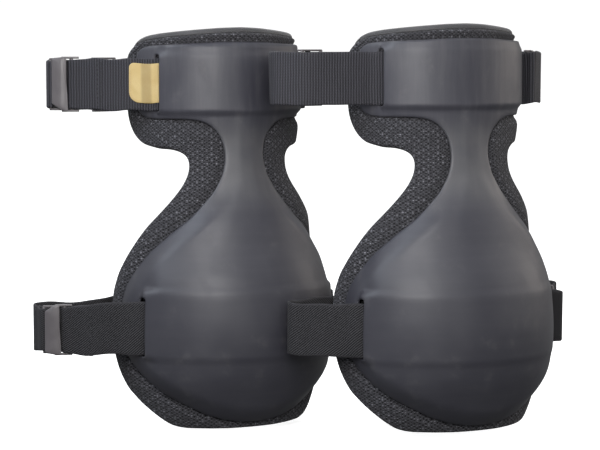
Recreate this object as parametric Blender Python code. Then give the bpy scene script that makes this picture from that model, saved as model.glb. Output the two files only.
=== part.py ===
"""A pair of strap-on knee pads: for each pad a moulded rubber shell, an impact foam block, a foam liner with a mesh
face, an inner lining, an upper webbing strap and a lower elastic strap with a hook, a ring and a slide adjuster each.

Row frame in metres, +Z up, each pad faces -Y. The origin lies between the two legs at knee height.
Lengths below are in millimetres. A point on a pad is given by an angle round the leg (degrees, 0 at the front,
positive towards +X) and a height. Points on the strap loops are given in a plan grid turned by TURN about Z,
because the loose loops lie turned to one side: (across, behind).
"""

import math

import bmesh
import bpy
import numpy as np
from mathutils import Matrix, Vector
from mathutils.geometry import delaunay_2d_cdt

MM = 0.001
TURN = math.radians(28.6)

# where each pad's leg axis stands, in the turned plan grid, and how far it is raised
PAD_AT = {"left": (-73.5, 16.0, 0.0), "right": (90.0, -16.0, 2.5)}
OUTER_SIDE = {"left": -1, "right": 1}  # side of the leg that carries the hooks

# pad body
LINER_T = 7.0  # foam liner
LINING_T = 1.6  # smooth lining on the leg side
GAP = 0.5  # between stacked layers
SHELL_T = 2.4  # rubber shell
CHANNEL_RISE = 3.8  # shell stands off the strap that runs under it
DOME_RISE = 5.0  # impact foam under the knee cup
DOME_RUN = 17.0

# straps
STRAP_W = 38.0
STRAP_T = 1.6
STRAP_Z = {("left", "upper"): 182.9, ("right", "upper"): 185.2, ("left", "lower"): 5.8, ("right", "lower"): 4.9}
SLOT = {  # near edge and far edge of each strap slot (degrees), lowest and highest point
    ("left", "upper"): (53.0, 57.8, 163.1, 204.6),
    ("right", "upper"): (53.4, 58.2, 165.3, 206.6),
    ("left", "lower"): (51.2, 55.4, -14.0, 27.2),
    ("right", "lower"): (55.0, 59.2, -14.9, 26.9),
}
CHANNEL_TOP = {"upper": 22.6, "lower": 26.4}  # top of each strap's channel over the strap's middle

# closure hardware
RAIL_IN = 19.6  # half the clear opening for the strap
RAIL_OUT = 21.4
BAR_R = 1.4
HOOK_REACH = 8.4  # hook pivot bar to the ring's caught bar
RING_SP = 7.1  # between the ring's two bars
RING_HALF = 0.9

# heights and the radii of the liner's outer face at the front and at the sides
Z_KNOTS = [-105, -92, -75, -50, -25, 0, 25, 50, 75, 100, 120, 140, 165, 190, 235]
R_FRONT = [50, 61, 75, 87, 93, 94.5, 92.5, 86, 79, 73, 69, 67, 67, 67, 66]
R_SIDE = [48, 56, 66, 73, 77, 78, 77.5, 75, 71.5, 68, 65, 64, 63, 63, 62]

# half outlines (degrees, height), from the top centre round to the bottom centre
SHELL_HALF = [
    (0, 214), (15, 213.8), (30, 212.6), (45, 211.5), (55, 211), (62, 210.5), (68, 208.5), (71.3, 205.3),
    (72.5, 200.5), (72.5, 170), (71.6, 165.5), (69, 161.5), (64, 158.6), (57, 157.7), (47, 157.6), (37, 157.6),
    (28.5, 156.5), (22.3, 153.2), (17.6, 148), (14.3, 140.8), (13, 132), (13.3, 124.6), (15.2, 115.8),
    (20.2, 104.5), (27.5, 93.5), (34, 84.5), (44, 73.5), (54.5, 60.8), (61.5, 49.6), (66.5, 40), (69.6, 31.5),
    (71.5, 22), (71.8, 9), (70.6, -4), (67.3, -14.5), (62.5, -23.5), (54.5, -32.8), (44.6, -42.5), (35, -50.2),
    (25.6, -56.8), (16, -61.2), (6, -63.4), (0, -63.7),
]
LINER_HALF = [
    (0, 225), (15, 224.4), (30, 223), (45, 221.3), (58, 219.4), (69, 216.8), (77.5, 212.6), (82.6, 207.5),
    (85.3, 201), (86, 193), (86, 166), (85, 159.5), (81.8, 153), (76.3, 145.6), (69, 140), (58, 137.2),
    (47.5, 136), (40.3, 133.8), (35.8, 129.6), (34.6, 123.5), (35.6, 116), (39.2, 107.2), (45, 97.8),
    (52, 88), (59.5, 78), (64.5, 70), (71.8, 56.5), (78, 43.5), (81.8, 29), (82.6, 18), (82, 0), (79.6, -17),
    (75.7, -28), (69.4, -40.6), (60.2, -51.4), (51, -60.6), (44, -66.4), (36.5, -68.2), (20, -68.4), (0, -68.6),
]
LIP = 4.5  # the lining stands above the foam liner's top edge by this much


def smooth(x):
    x = np.clip(x, 0.0, 1.0)
    return x * x * (3 - 2 * x)


def monotone(xk, yk, x):
    """Values at x of the smooth curve through the knots that doesn't overshoot."""
    xk, yk = np.asarray(xk, float), np.asarray(yk, float)
    h = np.diff(xk)
    d = np.diff(yk) / h
    m = np.zeros(len(xk))
    for i in range(1, len(xk) - 1):
        if d[i - 1] * d[i] > 0:
            w1, w2 = 2 * h[i] + h[i - 1], h[i] + 2 * h[i - 1]
            m[i] = (w1 + w2) / (w1 / d[i - 1] + w2 / d[i])
    m[0], m[-1] = d[0], d[-1]
    x = np.clip(np.asarray(x, float), xk[0], xk[-1])
    i = np.clip(np.searchsorted(xk, x) - 1, 0, len(h) - 1)
    t = (x - xk[i]) / h[i]
    return (
        yk[i] * (2 * t**3 - 3 * t**2 + 1)
        + h[i] * m[i] * (t**3 - 2 * t**2 + t)
        + yk[i + 1] * (-2 * t**3 + 3 * t**2)
        + h[i] * m[i + 1] * (t**3 - t**2)
    )


def base_point(th, z):
    f, s = monotone(Z_KNOTS, R_FRONT, z), monotone(Z_KNOTS, R_SIDE, z)
    r = s + (f - s) * np.cos(th)
    return np.stack([r * np.sin(th), -r * np.cos(th), z + 0 * th], -1)


def on_pad(th, z, off):
    """Points of the pad at an offset out of the liner's outer face; th in radians."""
    th, z = np.asarray(th, float), np.asarray(z, float)
    e = 1e-3
    du = base_point(th + e, z) - base_point(th - e, z)
    dv = base_point(th, z + 0.5) - base_point(th, z - 0.5)
    n = np.cross(du, dv)
    n /= np.linalg.norm(n, axis=-1, keepdims=True)
    return base_point(th, z) + n * np.asarray(off, float)[..., None]


UNROLL = 75.0  # millimetres of the flat pattern per radian


def flat(half, mirror=True):
    """Closed outline in the flat pattern, from a half outline in degrees."""
    right = [(math.radians(a) * UNROLL, z) for a, z in half]
    left = [(-x, z) for x, z in reversed(right[1:-1])]
    return right + left if mirror else right


def resample(loop, step):
    """The closed loop with points about step apart, keeping its shape."""
    p = np.array(loop + [loop[0]], float)
    s = np.concatenate([[0], np.cumsum(np.hypot(*np.diff(p, axis=0).T))])
    n = max(8, int(round(s[-1] / step)))
    t = np.linspace(0, s[-1], n, endpoint=False)
    return np.stack([np.interp(t, s, p[:, 0]), np.interp(t, s, p[:, 1])], -1)


def inside(points, loop):
    x, y = points[:, 0], points[:, 1]
    found = np.zeros(len(points), bool)
    for a, b in zip(loop, np.roll(loop, -1, axis=0)):
        cross = (a[1] > y) != (b[1] > y)
        with np.errstate(divide="ignore", invalid="ignore"):
            at = (b[0] - a[0]) * (y - a[1]) / (b[1] - a[1]) + a[0]
        found ^= cross & (x < at)
    return found


def edge_distance(points, loop):
    best = np.full(len(points), 1e9)
    for a, b in zip(loop, np.roll(loop, -1, axis=0)):
        d = b - a
        t = np.clip(((points - a) @ d) / max(d @ d, 1e-9), 0, 1)
        best = np.minimum(best, np.linalg.norm(points - a - t[:, None] * d, axis=1))
    return best


def pattern(outline, holes, step, rows=None):
    """Flat triangles of an outline with holes: points, triangles."""
    loops = [outline] + list(holes)
    lo, hi = outline.min(0), outline.max(0)
    nx = int((hi[0] - lo[0]) / step / 2)
    gx = np.arange(-nx - 1, nx + 2) * step
    gy = np.arange(lo[1], hi[1], step) if rows is None else np.array(rows)
    grid = np.array([(x, y) for y in gy for x in gx])
    keep = inside(grid, outline) & (edge_distance(grid, outline) > 0.5 * step)
    for h in holes:
        keep &= ~inside(grid, h) & (edge_distance(grid, h) > 0.42 * step)
    points = list(map(tuple, grid[keep]))
    edges = []
    for loop in loops:
        first = len(points)
        points += [tuple(p) for p in loop]
        n = len(loop)
        edges += [(first + i, first + (i + 1) % n) for i in range(n)]
    v, _, f, _, _, _ = delaunay_2d_cdt([Vector(p) for p in points], edges, [], 0, 1e-5)
    v = np.array([tuple(p) for p in v])
    f = np.array([t for t in f if len(t) == 3])
    c = v[f].mean(1)
    keep = inside(c, outline)
    for h in holes:
        keep &= ~inside(c, h)
    f = f[keep]
    a = v[f]
    area = np.cross(a[:, 1] - a[:, 0], a[:, 2] - a[:, 0])
    f[area < 0] = f[area < 0][:, ::-1]
    return v, f


def sheet_solid(v, f, off_out, off_in):
    """Closed solid between two offsets of the flat pattern laid on the pad."""
    th, z = v[:, 0] / UNROLL, v[:, 1]
    used = np.unique(f)
    index = -np.ones(len(v), int)
    index[used] = np.arange(len(used))
    f = index[f]
    th, z = th[used], z[used]
    outer = on_pad(th, z, off_out[used])
    inner = on_pad(th, z, off_in[used])
    n = len(used)
    faces = [tuple(t) for t in f] + [tuple(int(n + i) for i in t[::-1]) for t in f]
    edges = {}
    for t in f:
        for a, b in ((t[0], t[1]), (t[1], t[2]), (t[2], t[0])):
            edges[(a, b)] = 1
    for a, b in edges:
        if (b, a) not in edges:
            faces.append((int(b), int(a), int(n + a), int(n + b)))
    return np.concatenate([outer, inner]), faces


# ---------------------------------------------------------------- pad layers

SHELL_LOOP = np.array(flat(SHELL_HALF))


def window(x, lo, hi, run):
    return smooth((x - lo) / run + 0.5) * smooth((hi - x) / run + 0.5)


def channel_edges(pad, which):
    z = STRAP_Z[(pad, which)]
    return z - STRAP_W / 2 - 2.1, z + CHANNEL_TOP[which]


def channel(v, pad):
    """0 to 1: how far the shell is raised over the straps."""
    a = np.degrees(np.abs(v[:, 0]) / UNROLL)
    out = np.zeros(len(v))
    for which in ("upper", "lower"):
        lo, hi = channel_edges(pad, which)
        end = (SLOT[(pad, which)][0] + SLOT[(pad, which)][1]) / 2
        out = np.maximum(out, window(v[:, 1], lo, hi, 4.2) * smooth((end - a) / 2.0 + 0.5))
    return out


def dome(v):
    """Height of the knee cup's raised middle over the liner."""
    d = edge_distance(v, SHELL_LOOP)
    return DOME_RISE * smooth(d / DOME_RUN) * smooth((112.0 - v[:, 1]) / 40.0)


def slot_loop(pad, which, side):
    a0, a1, z0, z1 = SLOT[(pad, which)]
    x0, x1 = math.radians(a0) * UNROLL, math.radians(a1) * UNROLL
    zs = np.linspace(z0, z1, 5)
    ring = [(x1, z) for z in zs] + [(x0, z) for z in zs[::-1]]
    return np.array([(side * x, z) for x, z in ring])


def shell_rows(pad):
    """Heights of the shell's rows of points: both edges of each channel have their own."""
    rows = [
        -55, -46, -37, -28, -22, -2, 9, 20, 40, 50, 60, 70, 80, 90, 100, 110, 120, 130, 140, 149, 155, 175, 185.5, 196,
    ]
    edges = []
    for which in ("upper", "lower"):
        lo, hi = channel_edges(pad, which)
        edges += [lo - 2.3, lo + 2.2, hi - 2.2, hi + 2.3]
    rows = [z for z in rows if min(abs(z - e) for e in edges) > 3.0]
    return sorted(rows + edges)


def make_layers():
    made = {}
    shell = resample(flat(SHELL_HALF), 8.5)
    for pad in PAD_AT:
        holes = [slot_loop(pad, w, s) for w in ("upper", "lower") for s in (-1, 1)]
        v, f = pattern(shell, holes, 9.6, shell_rows(pad))
        low = GAP + dome(v) + CHANNEL_RISE * channel(v, pad)
        made[f"{pad}_shell"] = sheet_solid(v, f, low + SHELL_T, low)
    foam_half = [(a, min(z, z - LIP * smooth((z - 200) / 10.0))) for a, z in LINER_HALF]
    v, f = pattern(resample(flat(foam_half), 10.0), [], 11.0)
    made["liner"] = sheet_solid(v, f, np.zeros(len(v)), np.full(len(v), -LINER_T))
    v, f = pattern(resample(flat(LINER_HALF), 11.0), [], 12.5)
    top = np.full(len(v), -LINER_T - 2 * GAP)
    made["lining"] = sheet_solid(v, f, top, top - LINING_T)
    pad_half = [
        (0, 84), (14, 80), (24, 70), (33, 58), (41, 46), (46, 32), (48.5, 14), (47, -4), (42, -18), (33, -31),
        (21, -40), (9, -44.5), (0, -45.5),
    ]
    v, f = pattern(resample(flat(pad_half), 10.0), [], 11.0)
    made["impact"] = sheet_solid(v, f, dome(v) - 0.9, np.full(len(v), 2 * GAP))
    return made


# ---------------------------------------------------------------- straps


def plan(p):
    """(across, behind) in the turned grid to x, y."""
    c, s = math.cos(TURN), math.sin(TURN)
    return np.array([p[0] * c + p[1] * s, -p[0] * s + p[1] * c])


def fillet(points, radii, step=9.0, turn=24.0):
    """A polyline with rounded corners, as closely spaced plan points."""
    p = [np.array(q, float) for q in points]
    out = [p[0]]
    for i in range(1, len(p) - 1):
        a, b = p[i - 1] - p[i], p[i + 1] - p[i]
        la, lb = np.linalg.norm(a), np.linalg.norm(b)
        a, b = a / la, b / lb
        angle = math.acos(float(np.clip(a @ b, -1, 1)))
        bend = math.pi - angle
        if bend < 0.01:
            out.append(p[i])
            continue
        r = radii[i - 1]
        cut = min(r / math.tan(angle / 2), 0.48 * la, 0.48 * lb)
        r = cut * math.tan(angle / 2)
        centre = p[i] + (a + b) / np.linalg.norm(a + b) * (r / math.sin(angle / 2))
        s, e = p[i] + a * cut, p[i] + b * cut
        n = max(2, int(math.ceil(math.degrees(bend) / turn)))
        u, w = s - centre, e - centre
        for k in range(n + 1):
            t = k / n
            k0, k1 = math.sin((1 - t) * bend), math.sin(t * bend)
            out.append(centre + (u * k0 + w * k1) / math.sin(bend))
    out.append(p[-1])
    clean = [out[0]]
    for q in out[1:]:
        if np.linalg.norm(q - clean[-1]) > 0.3:
            clean.append(q)
    return clean


def side_normals(path):
    """Unit normals to the left of the path at each point, in plan."""
    p = np.array(path)
    d = np.gradient(p, axis=0)
    for i in range(1, len(p) - 1):
        a, b = p[i] - p[i - 1], p[i + 1] - p[i]
        d[i] = a / np.linalg.norm(a) + b / np.linalg.norm(b)
    d[0], d[-1] = p[1] - p[0], p[-1] - p[-2]
    d /= np.linalg.norm(d, axis=1, keepdims=True)
    n = np.stack([-d[:, 1], d[:, 0]], -1)
    k = np.ones(len(p))
    for i in range(1, len(p) - 1):
        a = (p[i] - p[i - 1]) / np.linalg.norm(p[i] - p[i - 1])
        k[i] = 1.0 / max(0.75, math.sqrt((1 + float(a @ d[i]) ** 2 * 2 - 1) / 2))
    return n * k[:, None]


ROWS = np.array([-0.5, 0.0, 0.5]) * STRAP_W


def upright(path, zc, thick=STRAP_T, rows=None):
    """Stations of a ribbon that stands upright on a plan path: (left face, right face) for each row. zc: height of
    its middle, one number or one for each point."""
    n = side_normals(path)
    zc = np.broadcast_to(zc, len(path))
    stations = []
    for i, (p, m) in enumerate(zip(path, n)):
        a, b = p + m * thick / 2, p - m * thick / 2
        up = ROWS if rows is None else rows[i]
        stations.append(([(*a, zc[i] + r) for r in up], [(*b, zc[i] + r) for r in up]))
    return stations


def sagged(path, zc, sag):
    """Heights of a strap's middle that hangs lower by sag between its two ends."""
    s = np.concatenate([[0], np.cumsum(np.linalg.norm(np.diff(np.array(path), axis=0), axis=1))])
    return zc - sag * smooth((s - 12) / 40.0) * smooth((s[-1] - 34 - s) / 40.0)


def under_shell(slot, zc, a_from, a_to):
    """Stations of the ribbon's run between the liner and the shell, in order of angle from a_from to a_to (degrees)."""
    sign = 1 if a_to > a_from else -1
    edge0, edge1 = slot[0], slot[1]
    inner = np.arange(-edge0 + 0.6, edge0, 9.2)
    inner = np.linspace(-edge0 + 0.4, edge0 - 0.4, len(inner) + 1)
    angles = np.concatenate([[-edge1 - 0.7], inner, [edge1 + 0.7]])
    if sign < 0:
        angles = -angles
    stations = []
    for a in angles:
        left, right = [], []
        for r in ROWS:
            z = zc + r
            v = np.array([[math.radians(a) * UNROLL, z]])
            d = float(dome(v)[0])
            if abs(a) < edge0:
                lo = d + 0.9
            else:
                lo = d + GAP + SHELL_T + 2.2
            th = np.array([math.radians(a)])
            q_out = on_pad(th, np.array([z]), np.array([lo + STRAP_T]))[0]
            q_in = on_pad(th, np.array([z]), np.array([lo]))[0]
            # going towards +angle the outer face is on the right of the path
            if sign > 0:
                left.append(q_in), right.append(q_out)
            else:
                left.append(q_out), right.append(q_in)
        stations.append((left, right))
    return stations


def ribbon(stations):
    k = len(ROWS)
    verts, faces = [], []
    for left, right in stations:
        verts += [tuple(q) for q in left] + [tuple(q) for q in right]
    n = len(stations)

    def at(i, side, r):
        return i * 2 * k + side * k + r

    for i in range(n - 1):
        for r in range(k - 1):
            faces.append((at(i, 0, r), at(i, 0, r + 1), at(i + 1, 0, r + 1), at(i + 1, 0, r)))
            faces.append((at(i, 1, r), at(i + 1, 1, r), at(i + 1, 1, r + 1), at(i, 1, r + 1)))
        faces.append((at(i, 0, 0), at(i + 1, 0, 0), at(i + 1, 1, 0), at(i, 1, 0)))
        faces.append((at(i, 0, k - 1), at(i, 1, k - 1), at(i + 1, 1, k - 1), at(i + 1, 0, k - 1)))
    for r in range(k - 1):
        faces.append((at(0, 0, r), at(0, 1, r), at(0, 1, r + 1), at(0, 0, r + 1)))
        faces.append((at(n - 1, 0, r), at(n - 1, 0, r + 1), at(n - 1, 1, r + 1), at(n - 1, 1, r)))
    return np.array(verts), faces


def eye(centre, direction, side, bar_r, back):
    """Plan points of a strap end sewn round a bar: it comes along direction (unit, towards the bar) on the given
    side of the bar (+1 left), wraps it and lies back against itself."""
    c, d = np.array(centre, float), np.array(direction, float)
    m = np.array([-d[1], d[0]]) * side
    rho = bar_r + 0.35 + STRAP_T / 2
    lift = 1.1
    pts = [c - d * (back + 2.0) + m * lift, c - d * 8.5 + m * lift, c - d * 2.6 + m * rho]
    for k in range(0, 7):
        t = math.pi * k / 6
        pts.append(c + m * rho * math.cos(t) + d * rho * math.sin(t))
    near = lift - (STRAP_T + 0.5)
    pts += [c - d * 2.6 - m * rho, c - d * 8.5 + m * near, c - d * back + m * near]
    return pts


# ---------------------------------------------------------------- objects


def material(name, color, rough, metal=0.0):
    m = bpy.data.materials.new(name)
    m.use_nodes = True
    b = m.node_tree.nodes["Principled BSDF"]
    b.inputs["Base Color"].default_value = (*color, 1)
    b.inputs["Roughness"].default_value = rough
    b.inputs["Metallic"].default_value = metal
    m.diffuse_color = (*color, 1)
    return m


def mesh_from(name, verts, faces):
    """A mesh in metres from points in millimetres, its faces pointing out."""
    me = bpy.data.meshes.new(name)
    bm = bmesh.new()
    vs = [bm.verts.new(Vector(map(float, v)) * MM) for v in verts]
    for f in faces:
        bm.faces.new([vs[i] for i in f])
    bmesh.ops.recalc_face_normals(bm, faces=bm.faces)
    if bm.calc_volume(signed=True) < 0:
        bmesh.ops.reverse_faces(bm, faces=bm.faces)
    bmesh.ops.triangulate(bm, faces=bm.faces)
    bm.to_mesh(me)
    bm.free()
    return me


def place(name, mesh, mat, parent, at=(0, 0, 0), turn=0.0, soft=True):
    ob = bpy.data.objects.new(name, mesh)
    if not mesh.materials:
        mesh.materials.append(mat)
    bpy.context.scene.collection.objects.link(ob)
    ob.parent = parent
    ob.location = Vector(at) * MM
    ob.rotation_euler = (0, 0, turn)
    if soft:
        mesh.shade_smooth()
        mesh.set_sharp_from_angle(angle=math.radians(40))
    return ob


def prism(loop, z0, z1):
    n = len(loop)
    verts = [(x, y, z0) for x, y in loop] + [(x, y, z1) for x, y in loop]
    faces = [tuple(range(n))[::-1], tuple(range(n, 2 * n))]
    faces += [(i, (i + 1) % n, n + (i + 1) % n, n + i) for i in range(n)]
    return verts, faces


def fused(name, parts):
    """One mesh from overlapping closed pieces, joined by Boolean unions."""
    objects = []
    for i, (verts, faces) in enumerate(parts):
        ob = bpy.data.objects.new(f"{name}_{i}", mesh_from(f"{name}_{i}", verts, faces))
        bpy.context.scene.collection.objects.link(ob)
        objects.append(ob)
    for other in objects[1:]:
        m = objects[0].modifiers.new("join", "BOOLEAN")
        m.operation = "UNION"
        m.solver = "EXACT"
        m.object = other
    bpy.context.view_layer.update()
    graph = bpy.context.evaluated_depsgraph_get()
    made = bpy.data.meshes.new_from_object(objects[0].evaluated_get(graph))
    made.name = name
    for ob in objects:
        old = ob.data
        bpy.data.objects.remove(ob)
        bpy.data.meshes.remove(old)
    return made


def box(x0, x1, y0, y1, z0, z1):
    return prism([(x0, y0), (x1, y0), (x1, y1), (x0, y1)], z0, z1)


def hook_mesh(side):
    """Hook with its pivot bar at the origin. X runs to the ring; the outer face is on side * Y."""
    s = side
    bar = [(BAR_R * math.cos(math.radians(30 * k)), BAR_R * math.sin(math.radians(30 * k))) for k in range(12)]
    plate = [(2.6, 3.0), (4.8, 2.2), (11.9, 2.2), (13.0, 3.0), (14.1, 3.5)]
    for k in range(7):
        t = 14.1 - 11.5 * k / 6
        plate.append((t, 4.3 + 0.7 * (1 - ((t - 8.35) / 5.8) ** 2)))
    tip = [(10.2, 2.6), (10.2, -1.7), (10.5, -2.2), (11.3, -2.2), (11.7, -1.2), (11.7, 2.6)]
    rail = [
        (-5.6, -0.9), (-1.7, -1.5), (1.3, -1.6), (6.9, 1.6), (6.9, 3.6), (5.0, 3.6), (-0.8, 1.6), (-5.6, 0.7),
    ]
    turn = [(bar, -RAIL_OUT + 0.1, RAIL_OUT - 0.1), (plate, -RAIL_OUT + 0.3, RAIL_OUT - 0.3), (tip, -18.9, 18.9)]
    turn += [(rail, RAIL_IN, RAIL_OUT), (rail, -RAIL_OUT, -RAIL_IN)]
    return fused(f"hook_{'a' if s > 0 else 'b'}", [prism([(x, s * y) for x, y in p], a, b) for p, a, b in turn])


def ring_mesh():
    """Ring with its strap bar at the origin and the bar that the hook catches at -RING_SP on X."""
    h, c = RING_HALF, -RING_SP
    parts = [
        box(c - h, c + h, -h, h, -RAIL_OUT - 0.2, RAIL_OUT + 0.2),
        box(-h, h, -h + 0.02, h - 0.02, -RAIL_OUT - 0.1, RAIL_OUT + 0.1),
        box(c - h + 0.05, h - 0.05, -h + 0.01, h - 0.01, RAIL_IN, RAIL_OUT + 0.15),
        box(c - h + 0.05, h - 0.05, -h + 0.01, h - 0.01, -RAIL_OUT - 0.15, -RAIL_IN),
    ]
    return fused("ring", parts)


def slider_mesh():
    """Three-bar adjuster on a strap that runs along X through the origin. Its outer face is on +Y."""
    g = STRAP_T / 2 + 0.4
    parts = [
        box(-10.5, 10.5, -g - 1.7, g + 1.7, RAIL_IN, RAIL_OUT),
        box(-10.5, 10.5, -g - 1.7, g + 1.7, -RAIL_OUT, -RAIL_IN),
        box(-10.3, -7.5, -g - 1.6, -g, -RAIL_OUT + 0.2, RAIL_OUT - 0.2),
        box(7.5, 10.3, -g - 1.6, -g, -RAIL_OUT + 0.2, RAIL_OUT - 0.2),
        box(-2.4, 2.4, g, g + 1.6, -RAIL_OUT + 0.2, RAIL_OUT - 0.2),
    ]
    return fused("slider", parts)


# ---------------------------------------------------------------- strap layouts
# Plan grid of each pad, measured from its own leg axis: the tab's corners from the slot to the hook's pivot bar and
# their rounding; the hook's heading (degrees); the rear run's corners from the other slot round to the ring's far bar
# and their rounding; the corner after which the slide adjuster's straight run begins; sewn lengths of the two ends.
LAYOUT = {
    ("left", "upper"): {
        "tab": [(-57, -60.5)],
        "tab_r": [40],
        "bar": (-94.9, -52.0),
        "heading": 177.0,
        "rear": [(71.5, 50), (30, 68), (-46, 56), (-99, 0), (-112, -24)],
        "rear_r": [24, 45, 60, 40, 30],
        "slider": 2,
        "sewn": (24.0, 16.0),
        "sag": 2.0,
    },
    ("left", "lower"): {
        "tab": [(-66, -81.5)],
        "tab_r": [40],
        "bar": (-99.5, -69.0),
        "heading": 176.0,
        "rear": [(97, 14), (92, 50), (36, 70), (-34, 42), (-74, -14), (-106, -32), (-116.5, -44)],
        "rear_r": [30, 22, 45, 50, 30, 14, 9],
        "slider": 2,
        "sewn": (22.0, 12.0),
        "sag": 3.0,
    },
    ("right", "upper"): {
        "tab": [(83.5, -2), (90.6, 14)],
        "tab_r": [10, 12],
        "bar": (82.5, 42.5),
        "heading": 78.0,
        "rear": [(-88, -73), (-116, -62), (-104, -38), (-58, 2), (-48, 44), (-6, 72), (58, 84), (89, 80)],
        "rear_r": [30, 14, 16, 26, 26, 40, 40, 14],
        "slider": 2,
        "sewn": (22.0, 16.0),
        "sag": 0.0,
    },
    ("right", "lower"): {
        "tab": [(98.5, 10)],
        "tab_r": [30],
        "bar": (99.5, 38.0),
        "heading": 84.0,
        "rear": [(-76, -76), (-101.5, -66), (-93, -50), (-58, -14), (-52, 34), (-8, 74), (60, 97), (106, 92), (111.5, 76)],
        "rear_r": [40, 11, 11, 30, 30, 40, 50, 14, 12],
        "slider": 5,
        "sewn": (20.0, 12.0),
        "sag": 0.0,
    },
}


def build_strap(pad, which, parent, mats, meshes):
    lay = LAYOUT[(pad, which)]
    side = OUTER_SIDE[pad]
    zc = STRAP_Z[(pad, which)]
    mat = mats["webbing"] if which == "upper" else mats["elastic"]
    name = f"{pad}_{which}"
    edge = SLOT[(pad, which)][1] + 0.7

    run = under_shell(SLOT[(pad, which)], zc, side * edge, -side * edge)  # from the hook side to the other slot
    mid = len(ROWS) // 2

    def centre(station):
        return (np.array(station[0][mid]) + np.array(station[1][mid]))[:2] / 2

    exit_hook, exit_rear = centre(run[0]), centre(run[-1])
    way_hook = exit_hook - centre(run[1])
    way_hook /= np.linalg.norm(way_hook)
    way_rear = exit_rear - centre(run[-2])
    way_rear /= np.linalg.norm(way_rear)

    # where the tab bends at its slot: on the strap's outer face
    joint = exit_hook + way_hook * 3.0
    away = np.array([-way_hook[1], way_hook[0]])
    if away @ joint < 0:
        away = -away
    pivot = joint + away * STRAP_T / 2

    bar = plan(lay["bar"])
    heading = math.radians(lay["heading"])
    t = plan((math.cos(heading), math.sin(heading)))
    angle = math.atan2(t[1], t[0])
    sewn_tab, sewn_rear = lay["sewn"]
    turn_side = 1 if pad == "left" else -1

    # tab: from the slot to the sewn eye on the hook's bar
    corners = [joint + way_hook * 0.5, joint + way_hook * 3.0] + [plan(q) for q in lay["tab"]]
    d = (bar - corners[-1]) / np.linalg.norm(bar - corners[-1])
    pts = eye(bar, d, turn_side, BAR_R, sewn_tab)
    tab = fillet(corners + pts[:2], [8] + lay["tab_r"] + [12])[:-1] + pts[1:]
    v, f = ribbon(upright(tab, zc))
    v = v - np.array([*pivot, zc])
    place(f"{name}_tab", mesh_from(f"{name}_tab", v, f), mat, parent, (*pivot, zc))

    # strap: under the shell, out of the other slot and round the leg to the sewn eye on the ring's far bar
    ring_at = bar + t * HOOK_REACH
    far = ring_at + t * RING_SP
    corners = [exit_rear, exit_rear + way_rear * 4.0] + [plan(q) for q in lay["rear"]]
    d = (far - corners[-1]) / np.linalg.norm(far - corners[-1])
    pts = eye(far, d, -turn_side, RING_HALF * 1.42, sewn_rear)
    rear = fillet(corners + pts[:2], [8] + lay["rear_r"] + [12])[:-1] + pts[1:]
    # every station goes from the hook side to the ring side
    lead = upright([exit_hook + way_hook * 2.6, exit_hook + way_hook * 1.2, exit_hook], zc)[:2]
    heights = sagged(rear, zc, lay["sag"])
    stations = lead + run + upright(rear, heights)[1:]
    v, f = ribbon(stations)
    place(f"{name}_strap", mesh_from(f"{name}_strap", v, f), mat, parent)

    place(f"{name}_hook", meshes["hook_b" if pad == "right" else "hook_a"], mats["plastic"], parent, (*bar, zc), angle)
    place(f"{name}_ring", meshes["ring"], mats["plastic"], parent, (*far, zc), angle)

    # slide adjuster: in the middle of its straight run
    a, b = plan(lay["rear"][lay["slider"]]), plan(lay["rear"][lay["slider"] + 1])
    w = (b - a) / np.linalg.norm(b - a)
    on = [q for q in rear if abs(np.cross(w, q - a)) < 0.02 and 0 <= (q - a) @ w <= np.linalg.norm(b - a)]
    s0, s1 = min((q - a) @ w for q in on), max((q - a) @ w for q in on)
    at = a + w * (s0 + s1) / 2
    near = int(np.argmin([np.linalg.norm(q - at) for q in rear]))
    slider_z = float(heights[near])
    turn = math.atan2(w[1], w[0])
    if np.array([-w[1], w[0]]) @ at < 0:
        turn += math.pi
    place(f"{name}_slider", meshes["slider"], mats["plastic"], parent, (*at, slider_z), turn)
    return {
        "pivot": pivot, "bar": bar, "t": t, "ring": ring_at, "far": far, "slider": at, "slider_way": w,
        "slider_z": slider_z, "slide_room": (s1 - s0) / 2 - 10.5, "zc": zc, "tab": tab, "rear": rear, "exit_hook": exit_hook,
    }


def build_label(parent, mat, info):
    """Folded woven label sewn on the outside of the left pad's upper tab, next to the slot."""
    p = np.array(info["tab"])
    s = np.concatenate([[0], np.cumsum(np.linalg.norm(np.diff(p, axis=0), axis=1))])
    stations_at = np.array([0.8, 5.0, 10.0, 14.5, 17.4, 18.8])
    low = np.array([-13.0, -13.0, -13.0, -12.2, -9.0, -2.0])
    high = np.array([14.5, 14.5, 14.5, 14.5, 13.4, 6.0])
    path = np.stack([np.interp(stations_at, s, p[:, 0]), np.interp(stations_at, s, p[:, 1])], -1)
    n = side_normals(list(path))
    n[(n * path).sum(1) < 0] *= -1
    path = path + n * (STRAP_T / 2 + 0.45 + 0.35)
    rows = [np.array([a, (a + b) / 2, b]) for a, b in zip(low, high)]
    v, f = ribbon(upright(list(path), info["zc"], 0.7, rows))
    at = np.array([*info["pivot"], info["zc"]])
    place("left_size_label", mesh_from("left_size_label", v - at, f), mat, parent, at)


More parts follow.
